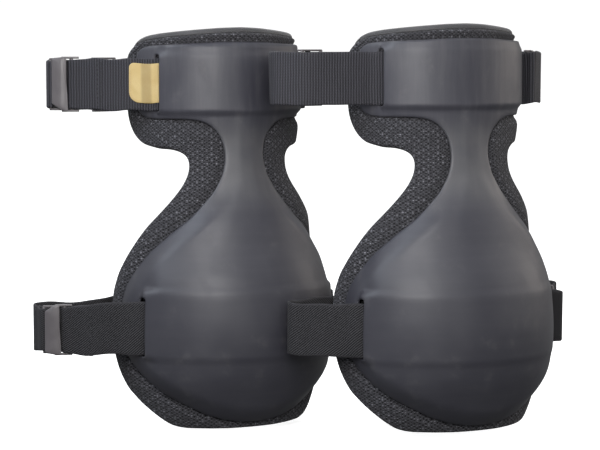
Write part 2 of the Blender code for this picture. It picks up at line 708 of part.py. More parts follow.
def main():
    for ob in list(bpy.data.objects):
        bpy.data.objects.remove(ob, do_unlink=True)
    mats = {
        "shell": material("rubber_shell", (0.045, 0.046, 0.052), 0.5),
        "liner": material("mesh_foam", (0.02, 0.02, 0.022), 0.85),
        "lining": material("smooth_lining", (0.05, 0.05, 0.052), 0.8),
        "impact": material("impact_foam", (0.12, 0.12, 0.13), 0.9),
        "webbing": material("nylon_webbing", (0.02, 0.02, 0.024), 0.7),
        "elastic": material("elastic_strap", (0.018, 0.018, 0.02), 0.8),
        "plastic": material("acetal_plastic", (0.07, 0.066, 0.068), 0.4),
        "label": material("woven_label", (0.62, 0.46, 0.15), 0.7),
    }
    layers = make_layers()
    meshes = {"hook_a": hook_mesh(1), "hook_b": hook_mesh(-1), "ring": ring_mesh(), "slider": slider_mesh()}
    shared = {
        "left_shell": mesh_from("left_outer_shell", *layers["left_shell"]),
        "right_shell": mesh_from("right_outer_shell", *layers["right_shell"]),
        "liner": mesh_from("foam_liner", *layers["liner"]),
        "lining": mesh_from("inner_lining", *layers["lining"]),
        "impact": mesh_from("impact_foam", *layers["impact"]),
    }
    facts = {}
    for pad, (across, behind, up) in PAD_AT.items():
        at = plan((across, behind))
        empty = bpy.data.objects.new(f"{pad}_pad", None)
        bpy.context.scene.collection.objects.link(empty)
        empty.location = Vector((*at, up)) * MM
        place(f"{pad}_outer_shell", shared[f"{pad}_shell"], mats["shell"], empty)
        place(f"{pad}_foam_liner", shared["liner"], mats["liner"], empty)
        place(f"{pad}_inner_lining", shared["lining"], mats["lining"], empty)
        place(f"{pad}_impact_foam", shared["impact"], mats["impact"], empty)
        for which in ("upper", "lower"):
            facts[(pad, which)] = build_strap(pad, which, empty, mats, meshes)
            facts[(pad, which)]["pad_at"] = np.array([*at, up])
        if pad == "left":
            build_label(empty, mats["label"], facts[("left", "upper")])
    return facts


FACTS = main()
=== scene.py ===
"""Looks of a pair of strap-on knee pads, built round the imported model. Lengths in this file are in millimetres
until a mesh is made; the meshes are in metres, in the row's frame."""

import math

import bmesh
import bpy
import numpy as np
from mathutils import Matrix, Vector
from mathutils.geometry import delaunay_2d_cdt


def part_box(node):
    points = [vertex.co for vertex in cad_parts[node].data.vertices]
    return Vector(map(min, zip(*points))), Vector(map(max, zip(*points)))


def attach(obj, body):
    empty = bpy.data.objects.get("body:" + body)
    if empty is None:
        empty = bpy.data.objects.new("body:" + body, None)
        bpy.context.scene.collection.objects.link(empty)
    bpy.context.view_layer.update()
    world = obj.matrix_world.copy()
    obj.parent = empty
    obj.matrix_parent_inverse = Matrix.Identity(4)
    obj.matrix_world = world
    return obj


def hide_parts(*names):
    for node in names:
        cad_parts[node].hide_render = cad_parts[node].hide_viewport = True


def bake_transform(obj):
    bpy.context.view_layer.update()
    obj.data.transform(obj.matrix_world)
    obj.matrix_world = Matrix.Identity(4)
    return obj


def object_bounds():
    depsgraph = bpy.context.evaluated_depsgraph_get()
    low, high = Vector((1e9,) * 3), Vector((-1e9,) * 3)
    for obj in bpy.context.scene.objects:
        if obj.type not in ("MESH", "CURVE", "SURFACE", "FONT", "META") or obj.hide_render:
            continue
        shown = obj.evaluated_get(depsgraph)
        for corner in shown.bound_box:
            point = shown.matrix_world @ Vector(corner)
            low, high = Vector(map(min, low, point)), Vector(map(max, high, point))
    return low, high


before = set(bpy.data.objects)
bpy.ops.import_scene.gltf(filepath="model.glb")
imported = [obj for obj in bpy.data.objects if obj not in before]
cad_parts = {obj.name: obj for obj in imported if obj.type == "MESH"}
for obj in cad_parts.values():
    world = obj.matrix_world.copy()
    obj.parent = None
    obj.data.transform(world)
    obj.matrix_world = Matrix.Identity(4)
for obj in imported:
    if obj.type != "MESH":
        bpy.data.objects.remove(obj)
WORLD_LOW, WORLD_HIGH = 0.10, 0.62  # light from below and from above
CAD_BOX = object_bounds()
MM = 0.001
TURN = math.radians(28.6)

PAD_AT = {"left": (-73.5, 16.0, 0.0), "right": (90.0, -16.0, 2.5)}
OUTER_SIDE = {"left": -1, "right": 1}
LINER_T, LINING_T, GAP, SHELL_T = 7.0, 1.6, 0.5, 2.4
CHANNEL_RISE, DOME_RISE = 3.8, 5.0
STRAP_W, STRAP_T = 38.0, 1.6
STRAP_Z = {("left", "upper"): 182.9, ("right", "upper"): 185.2, ("left", "lower"): 5.8, ("right", "lower"): 4.9}
SLOT = {
    ("left", "upper"): (53.0, 57.8, 163.1, 204.6),
    ("right", "upper"): (53.4, 58.2, 165.3, 206.6),
    ("left", "lower"): (51.2, 55.4, -14.0, 27.2),
    ("right", "lower"): (55.0, 59.2, -14.9, 26.9),
}
CHANNEL_TOP = {"upper": 22.6, "lower": 26.4}
HOOK_IN, HOOK_OUT = 18.7, 20.3  # the hook's rails: the webbing is gathered a little in its eye
RING_IN, RING_OUT = 17.6, 19.2
RAIL_IN, RAIL_OUT, BAR_R, HOOK_REACH, RING_SP, RING_HALF = 19.4, 20.8, 1.4, 8.4, 7.1, 0.9
UNROLL = 75.0

Z_KNOTS = [-105, -92, -75, -50, -25, 0, 25, 50, 75, 100, 120, 140, 165, 190, 235]
R_FRONT = [50, 61, 75, 87, 93, 94.5, 92.5, 86, 79, 73, 69, 67, 67, 67, 66]
R_SIDE = [48, 56, 66, 73, 77, 78, 77.5, 75, 71.5, 68, 65, 64, 63, 63, 62]
SHELL_HALF = [
    (0, 214), (15, 213.8), (30, 212.8), (45, 212), (55, 211.6), (62, 211.2), (69, 209.6), (73.3, 206.2),
    (74.8, 201), (74.8, 170), (73.8, 165.2), (70.8, 161), (65, 158.2), (57, 157.5), (47, 157.6), (37, 157.6),
    (28.5, 156.5), (22.3, 153.2), (17.6, 148), (14.3, 140.8), (13, 132), (13.3, 124.6), (15.2, 115.8),
    (20.2, 104.5), (27.5, 93.5), (34, 84.5), (44, 73.5), (54.5, 60.8), (61.5, 49.6), (66.5, 40), (69.6, 31.5),
    (71.5, 22), (71.8, 9), (70.6, -4), (67.3, -14.5), (62.5, -23.5), (54.5, -32.8), (44.6, -42.5), (35, -50.2),
    (25.6, -56.8), (16, -61.2), (6, -63.4), (0, -63.7),
]
LINER_HALF = [
    (0, 225), (15, 224.4), (30, 223.2), (45, 221.8), (58, 220.4), (69, 218.8), (77.5, 215.8), (83.4, 211.0),
    (86.4, 204), (87.0, 194), (86.4, 166), (85, 159), (81.8, 152.3), (76.3, 144.9), (69, 139.4), (58, 136.6),
    (47.5, 136), (40.3, 133.8), (35.8, 129.6), (34.6, 123.5), (35.6, 116), (39.2, 107.2), (45, 97.8),
    (52, 88), (59.5, 78), (64.5, 70), (71.8, 56.5), (78, 43.5), (81.8, 29), (82.6, 18), (82, 0), (79.6, -17),
    (75.7, -28), (69.4, -40.6), (60.2, -51.4), (51, -60.6), (44, -66.4), (36.5, -68.2), (20, -68.4), (0, -68.6),
]
LIP = 4.5


# ------------------------------------------------------------------ shared geometry


def smooth(x):
    x = np.clip(x, 0.0, 1.0)
    return x * x * (3 - 2 * x)


def monotone(xk, yk, x):
    xk, yk = np.asarray(xk, float), np.asarray(yk, float)
    h = np.diff(xk)
    d = np.diff(yk) / h
    m = np.zeros(len(xk))
    for i in range(1, len(xk) - 1):
        if d[i - 1] * d[i] > 0:
            w1, w2 = 2 * h[i] + h[i - 1], h[i] + 2 * h[i - 1]
            m[i] = (w1 + w2) / (w1 / d[i - 1] + w2 / d[i])
    m[0], m[-1] = d[0], d[-1]
    x = np.clip(np.asarray(x, float), xk[0], xk[-1])
    i = np.clip(np.searchsorted(xk, x) - 1, 0, len(h) - 1)
    t = (x - xk[i]) / h[i]
    return (
        yk[i] * (2 * t**3 - 3 * t**2 + 1)
        + h[i] * m[i] * (t**3 - 2 * t**2 + t)
        + yk[i + 1] * (-2 * t**3 + 3 * t**2)
        + h[i] * m[i + 1] * (t**3 - t**2)
    )


def base_point(th, z):
    f, s = monotone(Z_KNOTS, R_FRONT, z), monotone(Z_KNOTS, R_SIDE, z)
    r = s + (f - s) * np.cos(th)
    return np.stack([r * np.sin(th), -r * np.cos(th), z + 0 * th], -1)


def on_pad(th, z, off):
    """Points of the pad at an offset out of the liner's outer face; th in radians."""
    th, z = np.asarray(th, float), np.asarray(z, float)
    e = 1e-3
    du = base_point(th + e, z) - base_point(th - e, z)
    dv = base_point(th, z + 0.5) - base_point(th, z - 0.5)
    n = np.cross(du, dv)
    n /= np.linalg.norm(n, axis=-1, keepdims=True)
    # the right-hand side of each pad is set a little wider than its left-hand side
    deg = np.degrees(th)
    wide = 3.4 * smooth((deg - 22.0) / 36.0) * smooth((z - 126.0) / 26.0)
    wide = wide + 3.2 * smooth((deg - 24.0) / 30.0) * smooth((z - 52.0) / 34.0) * smooth((122.0 - z) / 24.0)
    return base_point(th, z) + n * (np.asarray(off, float) + wide)[..., None]


def flat(half):
    right = [(math.radians(a) * UNROLL, z) for a, z in half]
    left = [(-x, z) for x, z in reversed(right[1:-1])]
    return np.array(right + left)


def resample(loop, step):
    p = np.concatenate([loop, loop[:1]])
    s = np.concatenate([[0], np.cumsum(np.hypot(*np.diff(p, axis=0).T))])
    n = max(8, int(round(s[-1] / step)))
    t = np.linspace(0, s[-1], n, endpoint=False)
    return np.stack([np.interp(t, s, p[:, 0]), np.interp(t, s, p[:, 1])], -1)


def rounded(loop, step, passes):
    """A loop resampled at step and smoothed, which keeps its shape to a fraction of a millimetre."""
    p = resample(loop, step)
    for k in range(passes):
        for w in (0.5, -0.52):  # smoothing without shrinking
            p = p + w * ((np.roll(p, 1, 0) + np.roll(p, -1, 0)) / 2 - p)
    return p


def inset(loop, d):
    """The loop moved to its left by d, for a counter-clockwise loop that is inwards."""
    t = np.roll(loop, -1, 0) - np.roll(loop, 1, 0)
    t /= np.linalg.norm(t, axis=1, keepdims=True)
    return loop + np.stack([-t[:, 1], t[:, 0]], -1) * d


def turn_left(loop):
    x, y = loop[:, 0], loop[:, 1]
    area = np.sum(x * np.roll(y, -1) - np.roll(x, -1) * y)
    return loop if area > 0 else loop[::-1]


def inside(points, loop):
    x, y = points[:, 0], points[:, 1]
    found = np.zeros(len(points), bool)
    for a, b in zip(loop, np.roll(loop, -1, axis=0)):
        cross = (a[1] > y) != (b[1] > y)
        with np.errstate(divide="ignore", invalid="ignore"):
            at = (b[0] - a[0]) * (y - a[1]) / (b[1] - a[1]) + a[0]
        found ^= cross & (x < at)
    return found


def edge_distance(points, loop):
    best = np.full(len(points), 1e9)
    for a, b in zip(loop, np.roll(loop, -1, axis=0)):
        d = b - a
        t = np.clip(((points - a) @ d) / max(d @ d, 1e-9), 0, 1)
        q = points - a - t[:, None] * d
        best = np.minimum(best, np.einsum("ij,ij->i", q, q))
    return np.sqrt(best)


def pattern(outline, holes, step, insets, rows=None):
    """Flat triangles of an outline with holes. Rings of points at each inset follow every edge."""
    outline = turn_left(outline)
    holes = [turn_left(h) for h in holes]
    loops = [(outline, True)] + [(h, True) for h in holes]
    deep = insets[-1] if insets else 0.0
    lo, hi = outline.min(0), outline.max(0)
    nx = int((hi[0] - lo[0]) / step / 2)
    gx = np.arange(-nx - 1, nx + 2) * step
    gy = np.arange(lo[1] + 0.37 * step, hi[1], step * 0.9) if rows is None else np.array(rows)
    grid = np.array([(x + (0.5 * step if j % 2 else 0.0), y) for j, y in enumerate(gy) for x in gx])
    keep = inside(grid, outline)
    grid = grid[keep]
    keep = edge_distance(grid, outline) > deep + 0.62 * step
    for h in holes:
        keep &= ~inside(grid, h) & (edge_distance(grid, h) > deep + 0.62 * step)
    points = list(map(tuple, grid[keep]))
    edges = []
    for k, d in enumerate([0.0] + list(insets)):
        for j, (loop, _) in enumerate(loops):
            ring = loop if d == 0 else inset(loop, d if j == 0 else -d)
            first, n = len(points), len(ring)
            points += [tuple(p) for p in ring]
            edges += [(first + i, first + (i + 1) % n) for i in range(n)]
    v, _, f, _, _, _ = delaunay_2d_cdt([Vector(p) for p in points], edges, [], 0, 1e-5)
    v = np.array([tuple(p) for p in v])
    f = np.array([t for t in f if len(t) == 3])
    c = v[f].mean(1)
    keep = inside(c, outline)
    for h in holes:
        keep &= ~inside(c, h)
    f = f[keep]
    a = v[f]
    area = np.cross(a[:, 1] - a[:, 0], a[:, 2] - a[:, 0])
    f[area < 0] = f[area < 0][:, ::-1]
    used = np.unique(f)
    index = -np.ones(len(v), int)
    index[used] = np.arange(len(used))
    return v[used], index[f]


def sheet_solid(v, f, off_out, off_in):
    """Closed solid between two offsets of the flat pattern laid on the pad, and each vertex's flat coordinates."""
    th, z = v[:, 0] / UNROLL, v[:, 1]
    outer, inner = on_pad(th, z, off_out), on_pad(th, z, off_in)
    n = len(v)
    faces = [tuple(map(int, t)) for t in f] + [tuple(int(n + i) for i in t[::-1]) for t in f]
    edges = set()
    for t in f:
        edges.update(((t[0], t[1]), (t[1], t[2]), (t[2], t[0])))
    below = v.copy()
    for a, b in edges:
        if (b, a) not in edges:
            faces.append((int(b), int(a), int(n + a), int(n + b)))
            # the flat pattern goes on round the rim, so a fabric keeps its scale there
            way = v[b] - v[a]
            out = np.array([way[1], -way[0]]) / max(np.hypot(*way), 1e-9)
            deep = np.linalg.norm(outer[a] - inner[a])
            below[a] += out * deep / 2
            below[b] += out * deep / 2
    return np.concatenate([outer, inner]), faces, np.concatenate([v, below])


def plan(p):
    c, s = math.cos(TURN), math.sin(TURN)
    return np.array([p[0] * c + p[1] * s, -p[0] * s + p[1] * c])


PAD_ORIGIN = {pad: np.array([*plan((a, b)), up]) for pad, (a, b, up) in PAD_AT.items()}


def window(x, lo, hi, run):
    return smooth((x - lo) / run + 0.5) * smooth((hi - x) / run + 0.5)


SHELL_EDGE = turn_left(rounded(flat(SHELL_HALF), 2.2, 10))
LINER_EDGE = turn_left(rounded(flat(LINER_HALF), 2.4, 10))


def channel_edges(pad, which):
    z = STRAP_Z[(pad, which)]
    return z - STRAP_W / 2 - 2.1, z + CHANNEL_TOP[which]


def channel(v, pad):
    """0 to 1: how far the shell is raised over the straps. Outside the channels the shell falls away slowly in the
    middle, so their edges stand out by only part of the rise there."""
    a = np.degrees(np.abs(v[:, 0]) / UNROLL)
    out = np.zeros(len(v))
    for which in ("upper", "lower"):
        lo, hi = channel_edges(pad, which)
        end = (SLOT[(pad, which)][0] + SLOT[(pad, which)][1]) / 2
        soft = 6.5 if which == "lower" else 5.0
        up = smooth((v[:, 1] - lo) / soft + 0.5) * smooth((hi - v[:, 1]) / 6.0 + 0.5)
        up = up * smooth((end - a) / 2.2 + 0.5)
        if which == "lower":
            wide = 0.80 * smooth((v[:, 1] - lo + 40) / 42.0) * smooth((hi + 34 - v[:, 1]) / 36.0)
        else:
            share = np.where(v[:, 1] > (lo + hi) / 2, 0.80, 0.42)
            wide = share * smooth((v[:, 1] - lo + 20) / 22.0) * smooth((hi + 10 - v[:, 1]) / 5.0)
        wide = wide * smooth((end + 1 - a) / 11.0)
        out = np.maximum(out, up + wide * (1 - up))
    return out


def dome(v, edge):
    """Height of the knee cup's raised middle: it starts at the shoulders, and runs up the neck as a ridge."""
    t = np.clip(edge / 15.0, 0, 1)
    up = smooth(t) * 0.55 + (1 - (1 - t) ** 2) * 0.45
    body = (DOME_RISE + 0.6 * smooth((90.0 - v[:, 1]) / 20.0) * smooth((v[:, 1] - 20.0) / 30.0)) * up
    body = body * smooth((122.0 - v[:, 1]) / 44.0)
    half = 9.0 + 14.0 * smooth((118.0 - v[:, 1]) / 50.0)
    ridge = 0.9 * smooth((half - np.abs(v[:, 0])) / 11.0 + 0.5) * window(v[:, 1], 84.0, 160.0, 44.0)
    return body + ridge


# ------------------------------------------------------------------ materials


class Nodes:
    """Builds a node tree with short calls."""

    def __init__(self, name):
        self.m = bpy.data.materials.new(name)
        self.m.use_nodes = True
        self.t = self.m.node_tree
        self.b = self.t.nodes["Principled BSDF"]

    def link(self, a, b):
        self.t.links.new(a, b)

    def node(self, kind, **settings):
        n = self.t.nodes.new(kind)
        for k, v in settings.items():
            setattr(n, k, v)
        return n

    def put(self, socket, value):
        if isinstance(value, bpy.types.NodeSocket):
            self.link(value, socket)
        elif value is not None:
            socket.default_value = value

    def math(self, op, a, b=None, c=None, clamp=False):
        n = self.node("ShaderNodeMath", operation=op, use_clamp=clamp)
        for s, v in zip(n.inputs, (a, b, c)):
            self.put(s, v)
        return n.outputs[0]

    def ramp(self, value, lo, hi, out_lo=0.0, out_hi=1.0, smooth_step=True):
        n = self.node("ShaderNodeMapRange")
        n.interpolation_type = "SMOOTHSTEP" if smooth_step else "LINEAR"
        for s, v in zip(n.inputs[:5], (value, lo, hi, out_lo, out_hi)):
            self.put(s, v)
        return n.outputs[0]

    def mix(self, fac, a, b):
        n = self.node("ShaderNodeMix", data_type="RGBA")
        self.put(n.inputs[0], fac)
        for s, v in ((n.inputs[6], a), (n.inputs[7], b)):
            self.put(s, (*v, 1) if isinstance(v, tuple) and len(v) == 3 else v)
        return n.outputs[2]

    def noise(self, vector, scale, detail=3.0, rough=0.5):
        n = self.node("ShaderNodeTexNoise")
        self.put(n.inputs["Vector"], vector)
        self.put(n.inputs["Scale"], scale)
        self.put(n.inputs["Detail"], detail)
        self.put(n.inputs["Roughness"], rough)
        return n.outputs[0]

    def uv(self):
        """Flat coordinates in millimetres, as two numbers, and the vector itself in metres."""
        n = self.node("ShaderNodeUVMap", uv_map="flat")
        s = self.node("ShaderNodeSeparateXYZ")
        self.link(n.outputs[0], s.inputs[0])
        return self.math("MULTIPLY", s.outputs[0], 1000.0), self.math("MULTIPLY", s.outputs[1], 1000.0), n.outputs[0]

    def place(self):
        return self.node("ShaderNodeTexCoord").outputs["Object"]

    def bump(self, height, distance, strength=1.0, below=None):
        n = self.node("ShaderNodeBump")
        self.put(n.inputs["Height"], height)
        self.put(n.inputs["Distance"], distance)
        self.put(n.inputs["Strength"], strength)
        if below is not None:
            self.link(below, n.inputs["Normal"])
        return n.outputs[0]

    def finish(self, color, rough, normal=None, metallic=0.0, specular=0.5, sheen=0.0, sheen_rough=0.5):
        self.put(self.b.inputs["Base Color"], (*color, 1) if isinstance(color, tuple) else color)
        self.put(self.b.inputs["Roughness"], rough)
        self.b.inputs["Metallic"].default_value = metallic
        self.b.inputs["Specular IOR Level"].default_value = specular
        self.b.inputs["Sheen Weight"].default_value = sheen
        self.b.inputs["Sheen Roughness"].default_value = sheen_rough
        if normal is not None:
            self.link(normal, self.b.inputs["Normal"])
        return self.m


def rubber_material():
    """Satin moulded rubber: cloudy, handled in places, with faint flow lines down the band and across the cup. Painted
    highlights on the neck and along the rims, painted shade low on the cup.
    """
    n = Nodes("moulded_rubber")
    p = n.place()
    u, v, flat_uv = n.uv()
    cloud = n.noise(p, 14.0, 4.0, 0.55)
    fine = n.noise(p, 900.0, 2.0, 0.6)
    dust = n.noise(p, 55.0, 5.0, 0.65)
    flow = []
    for scale in ((1.0, 0.10, 1.0), (0.10, 1.0, 1.0)):
        lay = n.node("ShaderNodeMapping")
        n.put(lay.inputs["Vector"], flat_uv)
        lay.inputs["Scale"].default_value = scale
        flow.append(n.noise(lay.outputs[0], 170.0, 4.0, 0.6))
    on_band = n.ramp(v, 70.0, 120.0)
    line = n.math("ADD", n.math("MULTIPLY", flow[0], on_band), n.math("MULTIPLY", flow[1], n.math("SUBTRACT", 1.0, on_band)))
    color = n.mix(n.ramp(cloud, 0.35, 0.7), (0.043, 0.043, 0.055), (0.058, 0.058, 0.070))
    some = n.ramp(on_band, 0.0, 1.0, 0.35, 1.0)
    color = n.mix(n.math("MULTIPLY", n.ramp(line, 0.45, 0.70, 0.0, 0.22), some), color, (0.105, 0.103, 0.108))
    color = n.mix(n.math("MULTIPLY", n.ramp(line, 0.30, 0.50, 0.22, 0.0), some), color, (0.030, 0.030, 0.036))
    color = n.mix(n.ramp(dust, 0.56, 0.74, 0.0, 0.30), color, (0.115, 0.112, 0.115))
    # painted highlight: the neck is painted paler, patchy with the cloud noise
    neck = n.math("MULTIPLY", n.ramp(v, 82.0, 112.0), n.ramp(v, 138.0, 160.0, 1.0, 0.0))
    color = n.mix(n.math("MULTIPLY", neck, n.ramp(cloud, 0.30, 0.62, 0.28, 0.62)), color, (0.112, 0.111, 0.116))
    # painted shade: the cup is painted darker towards its bottom, fading out by 80 mm up
    color = n.mix(n.ramp(v, 10.0, 80.0, 0.30, 0.0), color, (0.026, 0.026, 0.032))
    # painted highlight: sharp rims (high pointiness) are painted paler, standing in for light caught along the edges
    edge = n.node("ShaderNodeNewGeometry").outputs["Pointiness"]
    color = n.mix(n.ramp(edge, 0.52, 0.60, 0.0, 0.45), color, (0.16, 0.153, 0.152))
    rough = n.math("ADD", n.ramp(cloud, 0.3, 0.7, 0.38, 0.46), n.ramp(dust, 0.45, 0.75, 0.0, 0.10))
    normal = n.bump(fine, 0.00006, 0.5)
    normal = n.bump(n.noise(p, 130.0, 3.0, 0.5), 0.00018, 0.35, normal)
    return n.finish(color, rough, normal, specular=0.45)


def mesh_material():
    """Spacer mesh: rows of small dark pits with light knots standing between them."""
    n = Nodes("spacer_mesh")
    u, v, flat_uv = n.uv()
    wob = n.noise(flat_uv, 220.0, 2.0, 0.5)
    wob = n.math("MULTIPLY", n.math("SUBTRACT", wob, 0.5), 2.0)
    wob2 = n.math("MULTIPLY", n.math("SUBTRACT", n.noise(flat_uv, 420.0, 1.0, 0.5), 0.5), 1.4)
    u, v = n.math("ADD", u, wob), n.math("ADD", v, wob2)

    def dots(pu, pv, shift_u=0.0, shift_v=0.0, flat=1.0):
        """Distance from the nearest centre of a staggered grid, in millimetres; flat above 1 makes wide dashes."""
        out = None
        for k in (0.0, 0.5):
            a = n.math("ADD", n.math("DIVIDE", u, pu), k + shift_u)
            b = n.math("ADD", n.math("DIVIDE", v, pv), k + shift_v)
            a = n.math("MULTIPLY", n.math("SUBTRACT", n.math("FRACT", a), 0.5), pu / flat)
            b = n.math("MULTIPLY", n.math("SUBTRACT", n.math("FRACT", b), 0.5), pv * flat)
            d = n.math("SQRT", n.math("ADD", n.math("MULTIPLY", a, a), n.math("MULTIPLY", b, b)))
            out = d if out is None else n.math("MINIMUM", out, d)
        return out

    pit = n.ramp(dots(3.7, 2.25), 0.20, 0.90, 1.0, 0.0)
    knot = n.ramp(dots(7.4, 4.5, 0.25, 0.25, 1.25), 0.10, 0.85, 1.0, 0.0)
    small = n.ramp(dots(3.7, 2.25, 0.5, 0.0, 1.25), 0.05, 0.62, 1.0, 0.0)
    fuzz = n.noise(flat_uv, 2600.0, 3.0, 0.7)
    big = n.noise(flat_uv, 30.0, 3.0, 0.5)
    each = n.noise(flat_uv, 260.0, 1.0, 0.5)
    strand = n.mix(n.ramp(fuzz, 0.3, 0.75), (0.020, 0.020, 0.023), (0.068, 0.067, 0.076))
    color = n.mix(pit, strand, (0.006, 0.006, 0.007))
    lit = n.math("MULTIPLY", n.ramp(big, 0.3, 0.65, 0.5, 1.0), n.ramp(each, 0.38, 0.60, 0.10, 1.0))
    knot = n.math("MAXIMUM", knot, n.math("MULTIPLY", small, 0.55))
    color = n.mix(n.math("MULTIPLY", knot, lit), color, (0.25, 0.25, 0.28))
    height = n.math("ADD", n.math("SUBTRACT", n.math("MULTIPLY", knot, 0.8), pit), n.math("MULTIPLY", fuzz, 0.25))
    return n.finish(color, 0.85, n.bump(height, 0.0004, 0.8), specular=0.25, sheen=0.06, sheen_rough=0.5)


def lining_material():
    n = Nodes("knitted_lining")
    u, v, flat_uv = n.uv()
    rib = n.math("SINE", n.math("MULTIPLY", u, 2 * math.pi / 0.9))
    row = n.math("SINE", n.math("MULTIPLY", v, 2 * math.pi / 0.7))
    fuzz = n.noise(flat_uv, 1500.0, 4.0, 0.7)
    big = n.noise(flat_uv, 25.0, 3.0, 0.5)
    knit = n.math("ADD", n.math("MULTIPLY", n.math("MULTIPLY", rib, row), 0.5), fuzz)
    color = n.mix(n.ramp(knit, 0.1, 1.0), (0.045, 0.045, 0.048), (0.115, 0.114, 0.118))
    color = n.mix(n.ramp(big, 0.4, 0.7, 0.0, 0.35), color, (0.13, 0.128, 0.13))
    return n.finish(color, 0.9, n.bump(knit, 0.00022, 0.6), specular=0.2, sheen=0.35, sheen_rough=0.35)


def webbing_material():
    """Nylon webbing: raised ribs across the strap, each made of fine warp floats."""
    n = Nodes("nylon_webbing")
    s, w, flat_uv = n.uv()
    wob = n.math("MULTIPLY", n.math("SUBTRACT", n.noise(flat_uv, 90.0, 2.0, 0.5), 0.5), 0.9)
    rib = n.math("SINE", n.math("MULTIPLY", n.math("ADD", s, wob), 2 * math.pi / 2.0))
    cell = n.math("FLOOR", n.math("DIVIDE", s, 1.0))
    odd = n.math("MULTIPLY", n.math("MODULO", cell, 2.0), 0.45)
    warp = n.math("SINE", n.math("MULTIPLY", n.math("ADD", w, odd), 2 * math.pi / 1.1))
    fuzz = n.noise(flat_uv, 2400.0, 3.0, 0.7)
    h = n.math("ADD", n.math("MULTIPLY", rib, 0.42), n.math("MULTIPLY", warp, 0.36))
    h = n.math("ADD", h, n.math("MULTIPLY", fuzz, 0.5))
    big = n.noise(flat_uv, 40.0, 3.0, 0.5)
    color = n.mix(n.ramp(h, -0.35, 1.05), (0.004, 0.004, 0.005), (0.066, 0.065, 0.080))
    color = n.mix(n.ramp(big, 0.35, 0.7, 0.0, 0.25), color, (0.032, 0.031, 0.038))
    rough = n.ramp(h, -0.5, 1.0, 0.72, 0.50)
    return n.finish(color, rough, n.bump(h, 0.00035, 0.8), specular=0.35, sheen=0.05, sheen_rough=0.4)


def elastic_material():
    """Woven elastic: a diagonal twill with fine rubber cords along the strap."""
    n = Nodes("twill_elastic")
    s, w, flat_uv = n.uv()
    wob = n.math("MULTIPLY", n.math("SUBTRACT", n.noise(flat_uv, 120.0, 2.0, 0.5), 0.5), 0.7)
    d = n.math("ADD", n.math("ADD", n.math("MULTIPLY", s, 0.616), n.math("MULTIPLY", w, 0.788)), wob)
    twill = n.math("SINE", n.math("MULTIPLY", d, 2 * math.pi / 1.42))
    cord = n.math("SINE", n.math("MULTIPLY", w, 2 * math.pi / 0.75))
    fuzz = n.noise(flat_uv, 2400.0, 3.0, 0.7)
    h = n.math("ADD", n.math("MULTIPLY", twill, 0.5), n.math("MULTIPLY", cord, 0.18))
    h = n.math("ADD", h, n.math("MULTIPLY", fuzz, 0.5))
    selvage = n.ramp(n.math("ABSOLUTE", w), 17.4, 17.9)
    color = n.mix(n.ramp(h, -0.35, 0.95), (0.004, 0.004, 0.005), (0.056, 0.055, 0.060))
    color = n.mix(n.math("MULTIPLY", selvage, 0.75), color, (0.034, 0.033, 0.037))
    return n.finish(color, 0.82, n.bump(h, 0.0003, 0.8), specular=0.22, sheen=0.05, sheen_rough=0.45)


def plastic_material():
    n = Nodes("moulded_acetal")
    p = n.place()
    cloud = n.noise(p, 60.0, 3.0, 0.5)
    grain = n.noise(p, 1600.0, 3.0, 0.6)
    # painted highlight: sharp edges (high pointiness) are painted paler, standing in for light caught along them
    edge = n.node("ShaderNodeNewGeometry").outputs["Pointiness"]
    color = n.mix(n.ramp(cloud, 0.35, 0.7), (0.104, 0.095, 0.100), (0.130, 0.120, 0.126))
    color = n.mix(n.ramp(edge, 0.52, 0.62, 0.0, 0.35), color, (0.24, 0.23, 0.235))
    rough = n.ramp(grain, 0.3, 0.7, 0.34, 0.46)
    return n.finish(color, rough, n.bump(grain, 0.00004, 0.6), specular=0.5)


def label_material():
    n = Nodes("woven_label")
    s, w, flat_uv = n.uv()
    weft = n.math("SINE", n.math("MULTIPLY", w, 2 * math.pi / 0.42))
    warp = n.math("SINE", n.math("MULTIPLY", s, 2 * math.pi / 0.30))
    fuzz = n.noise(flat_uv, 1400.0, 3.0, 0.6)
    big = n.noise(flat_uv, 90.0, 3.0, 0.5)
    h = n.math("ADD", n.math("MULTIPLY", n.math("ADD", weft, warp), 0.25), fuzz)
    color = n.mix(n.ramp(big, 0.3, 0.7), (0.54, 0.39, 0.155), (0.60, 0.46, 0.205))
    color = n.mix(n.ramp(h, 0.0, 0.5, 0.30, 0.0), color, (0.27, 0.19, 0.06))
    # painted shade: a darker band across the label where it folds out of the slot, 5 to 15 mm along it
    fold_shade = n.math("MULTIPLY", n.ramp(s, 5.0, 7.5), n.ramp(s, 12.5, 15.0, 1.0, 0.0))
    color = n.mix(n.math("MULTIPLY", fold_shade, 0.55), color, (0.26, 0.185, 0.07))
    return n.finish(color, 0.5, n.bump(h, 0.0001, 0.6), specular=0.5, sheen=0.2, sheen_rough=0.3)


def thread_material():
    n = Nodes("sewing_thread")
    p = n.place()
    fuzz = n.noise(p, 2500.0, 3.0, 0.6)
    color = n.mix(n.ramp(fuzz, 0.3, 0.7), (0.012, 0.012, 0.014), (0.05, 0.05, 0.055))
    return n.finish(color, 0.6, n.bump(fuzz, 0.00008, 0.6), specular=0.4)


def foam_material():
    n = Nodes("closed_cell_foam")
    p = n.place()
    cells = n.node("ShaderNodeTexVoronoi")
    n.put(cells.inputs["Vector"], p)
    n.put(cells.inputs["Scale"], 900.0)
    color = n.mix(n.ramp(cells.outputs["Distance"], 0.1, 0.6), (0.07, 0.07, 0.075), (0.14, 0.14, 0.145))
    return n.finish(color, 0.9, n.bump(cells.outputs["Distance"], 0.0003, 0.5), specular=0.2)


# ------------------------------------------------------------------ meshes


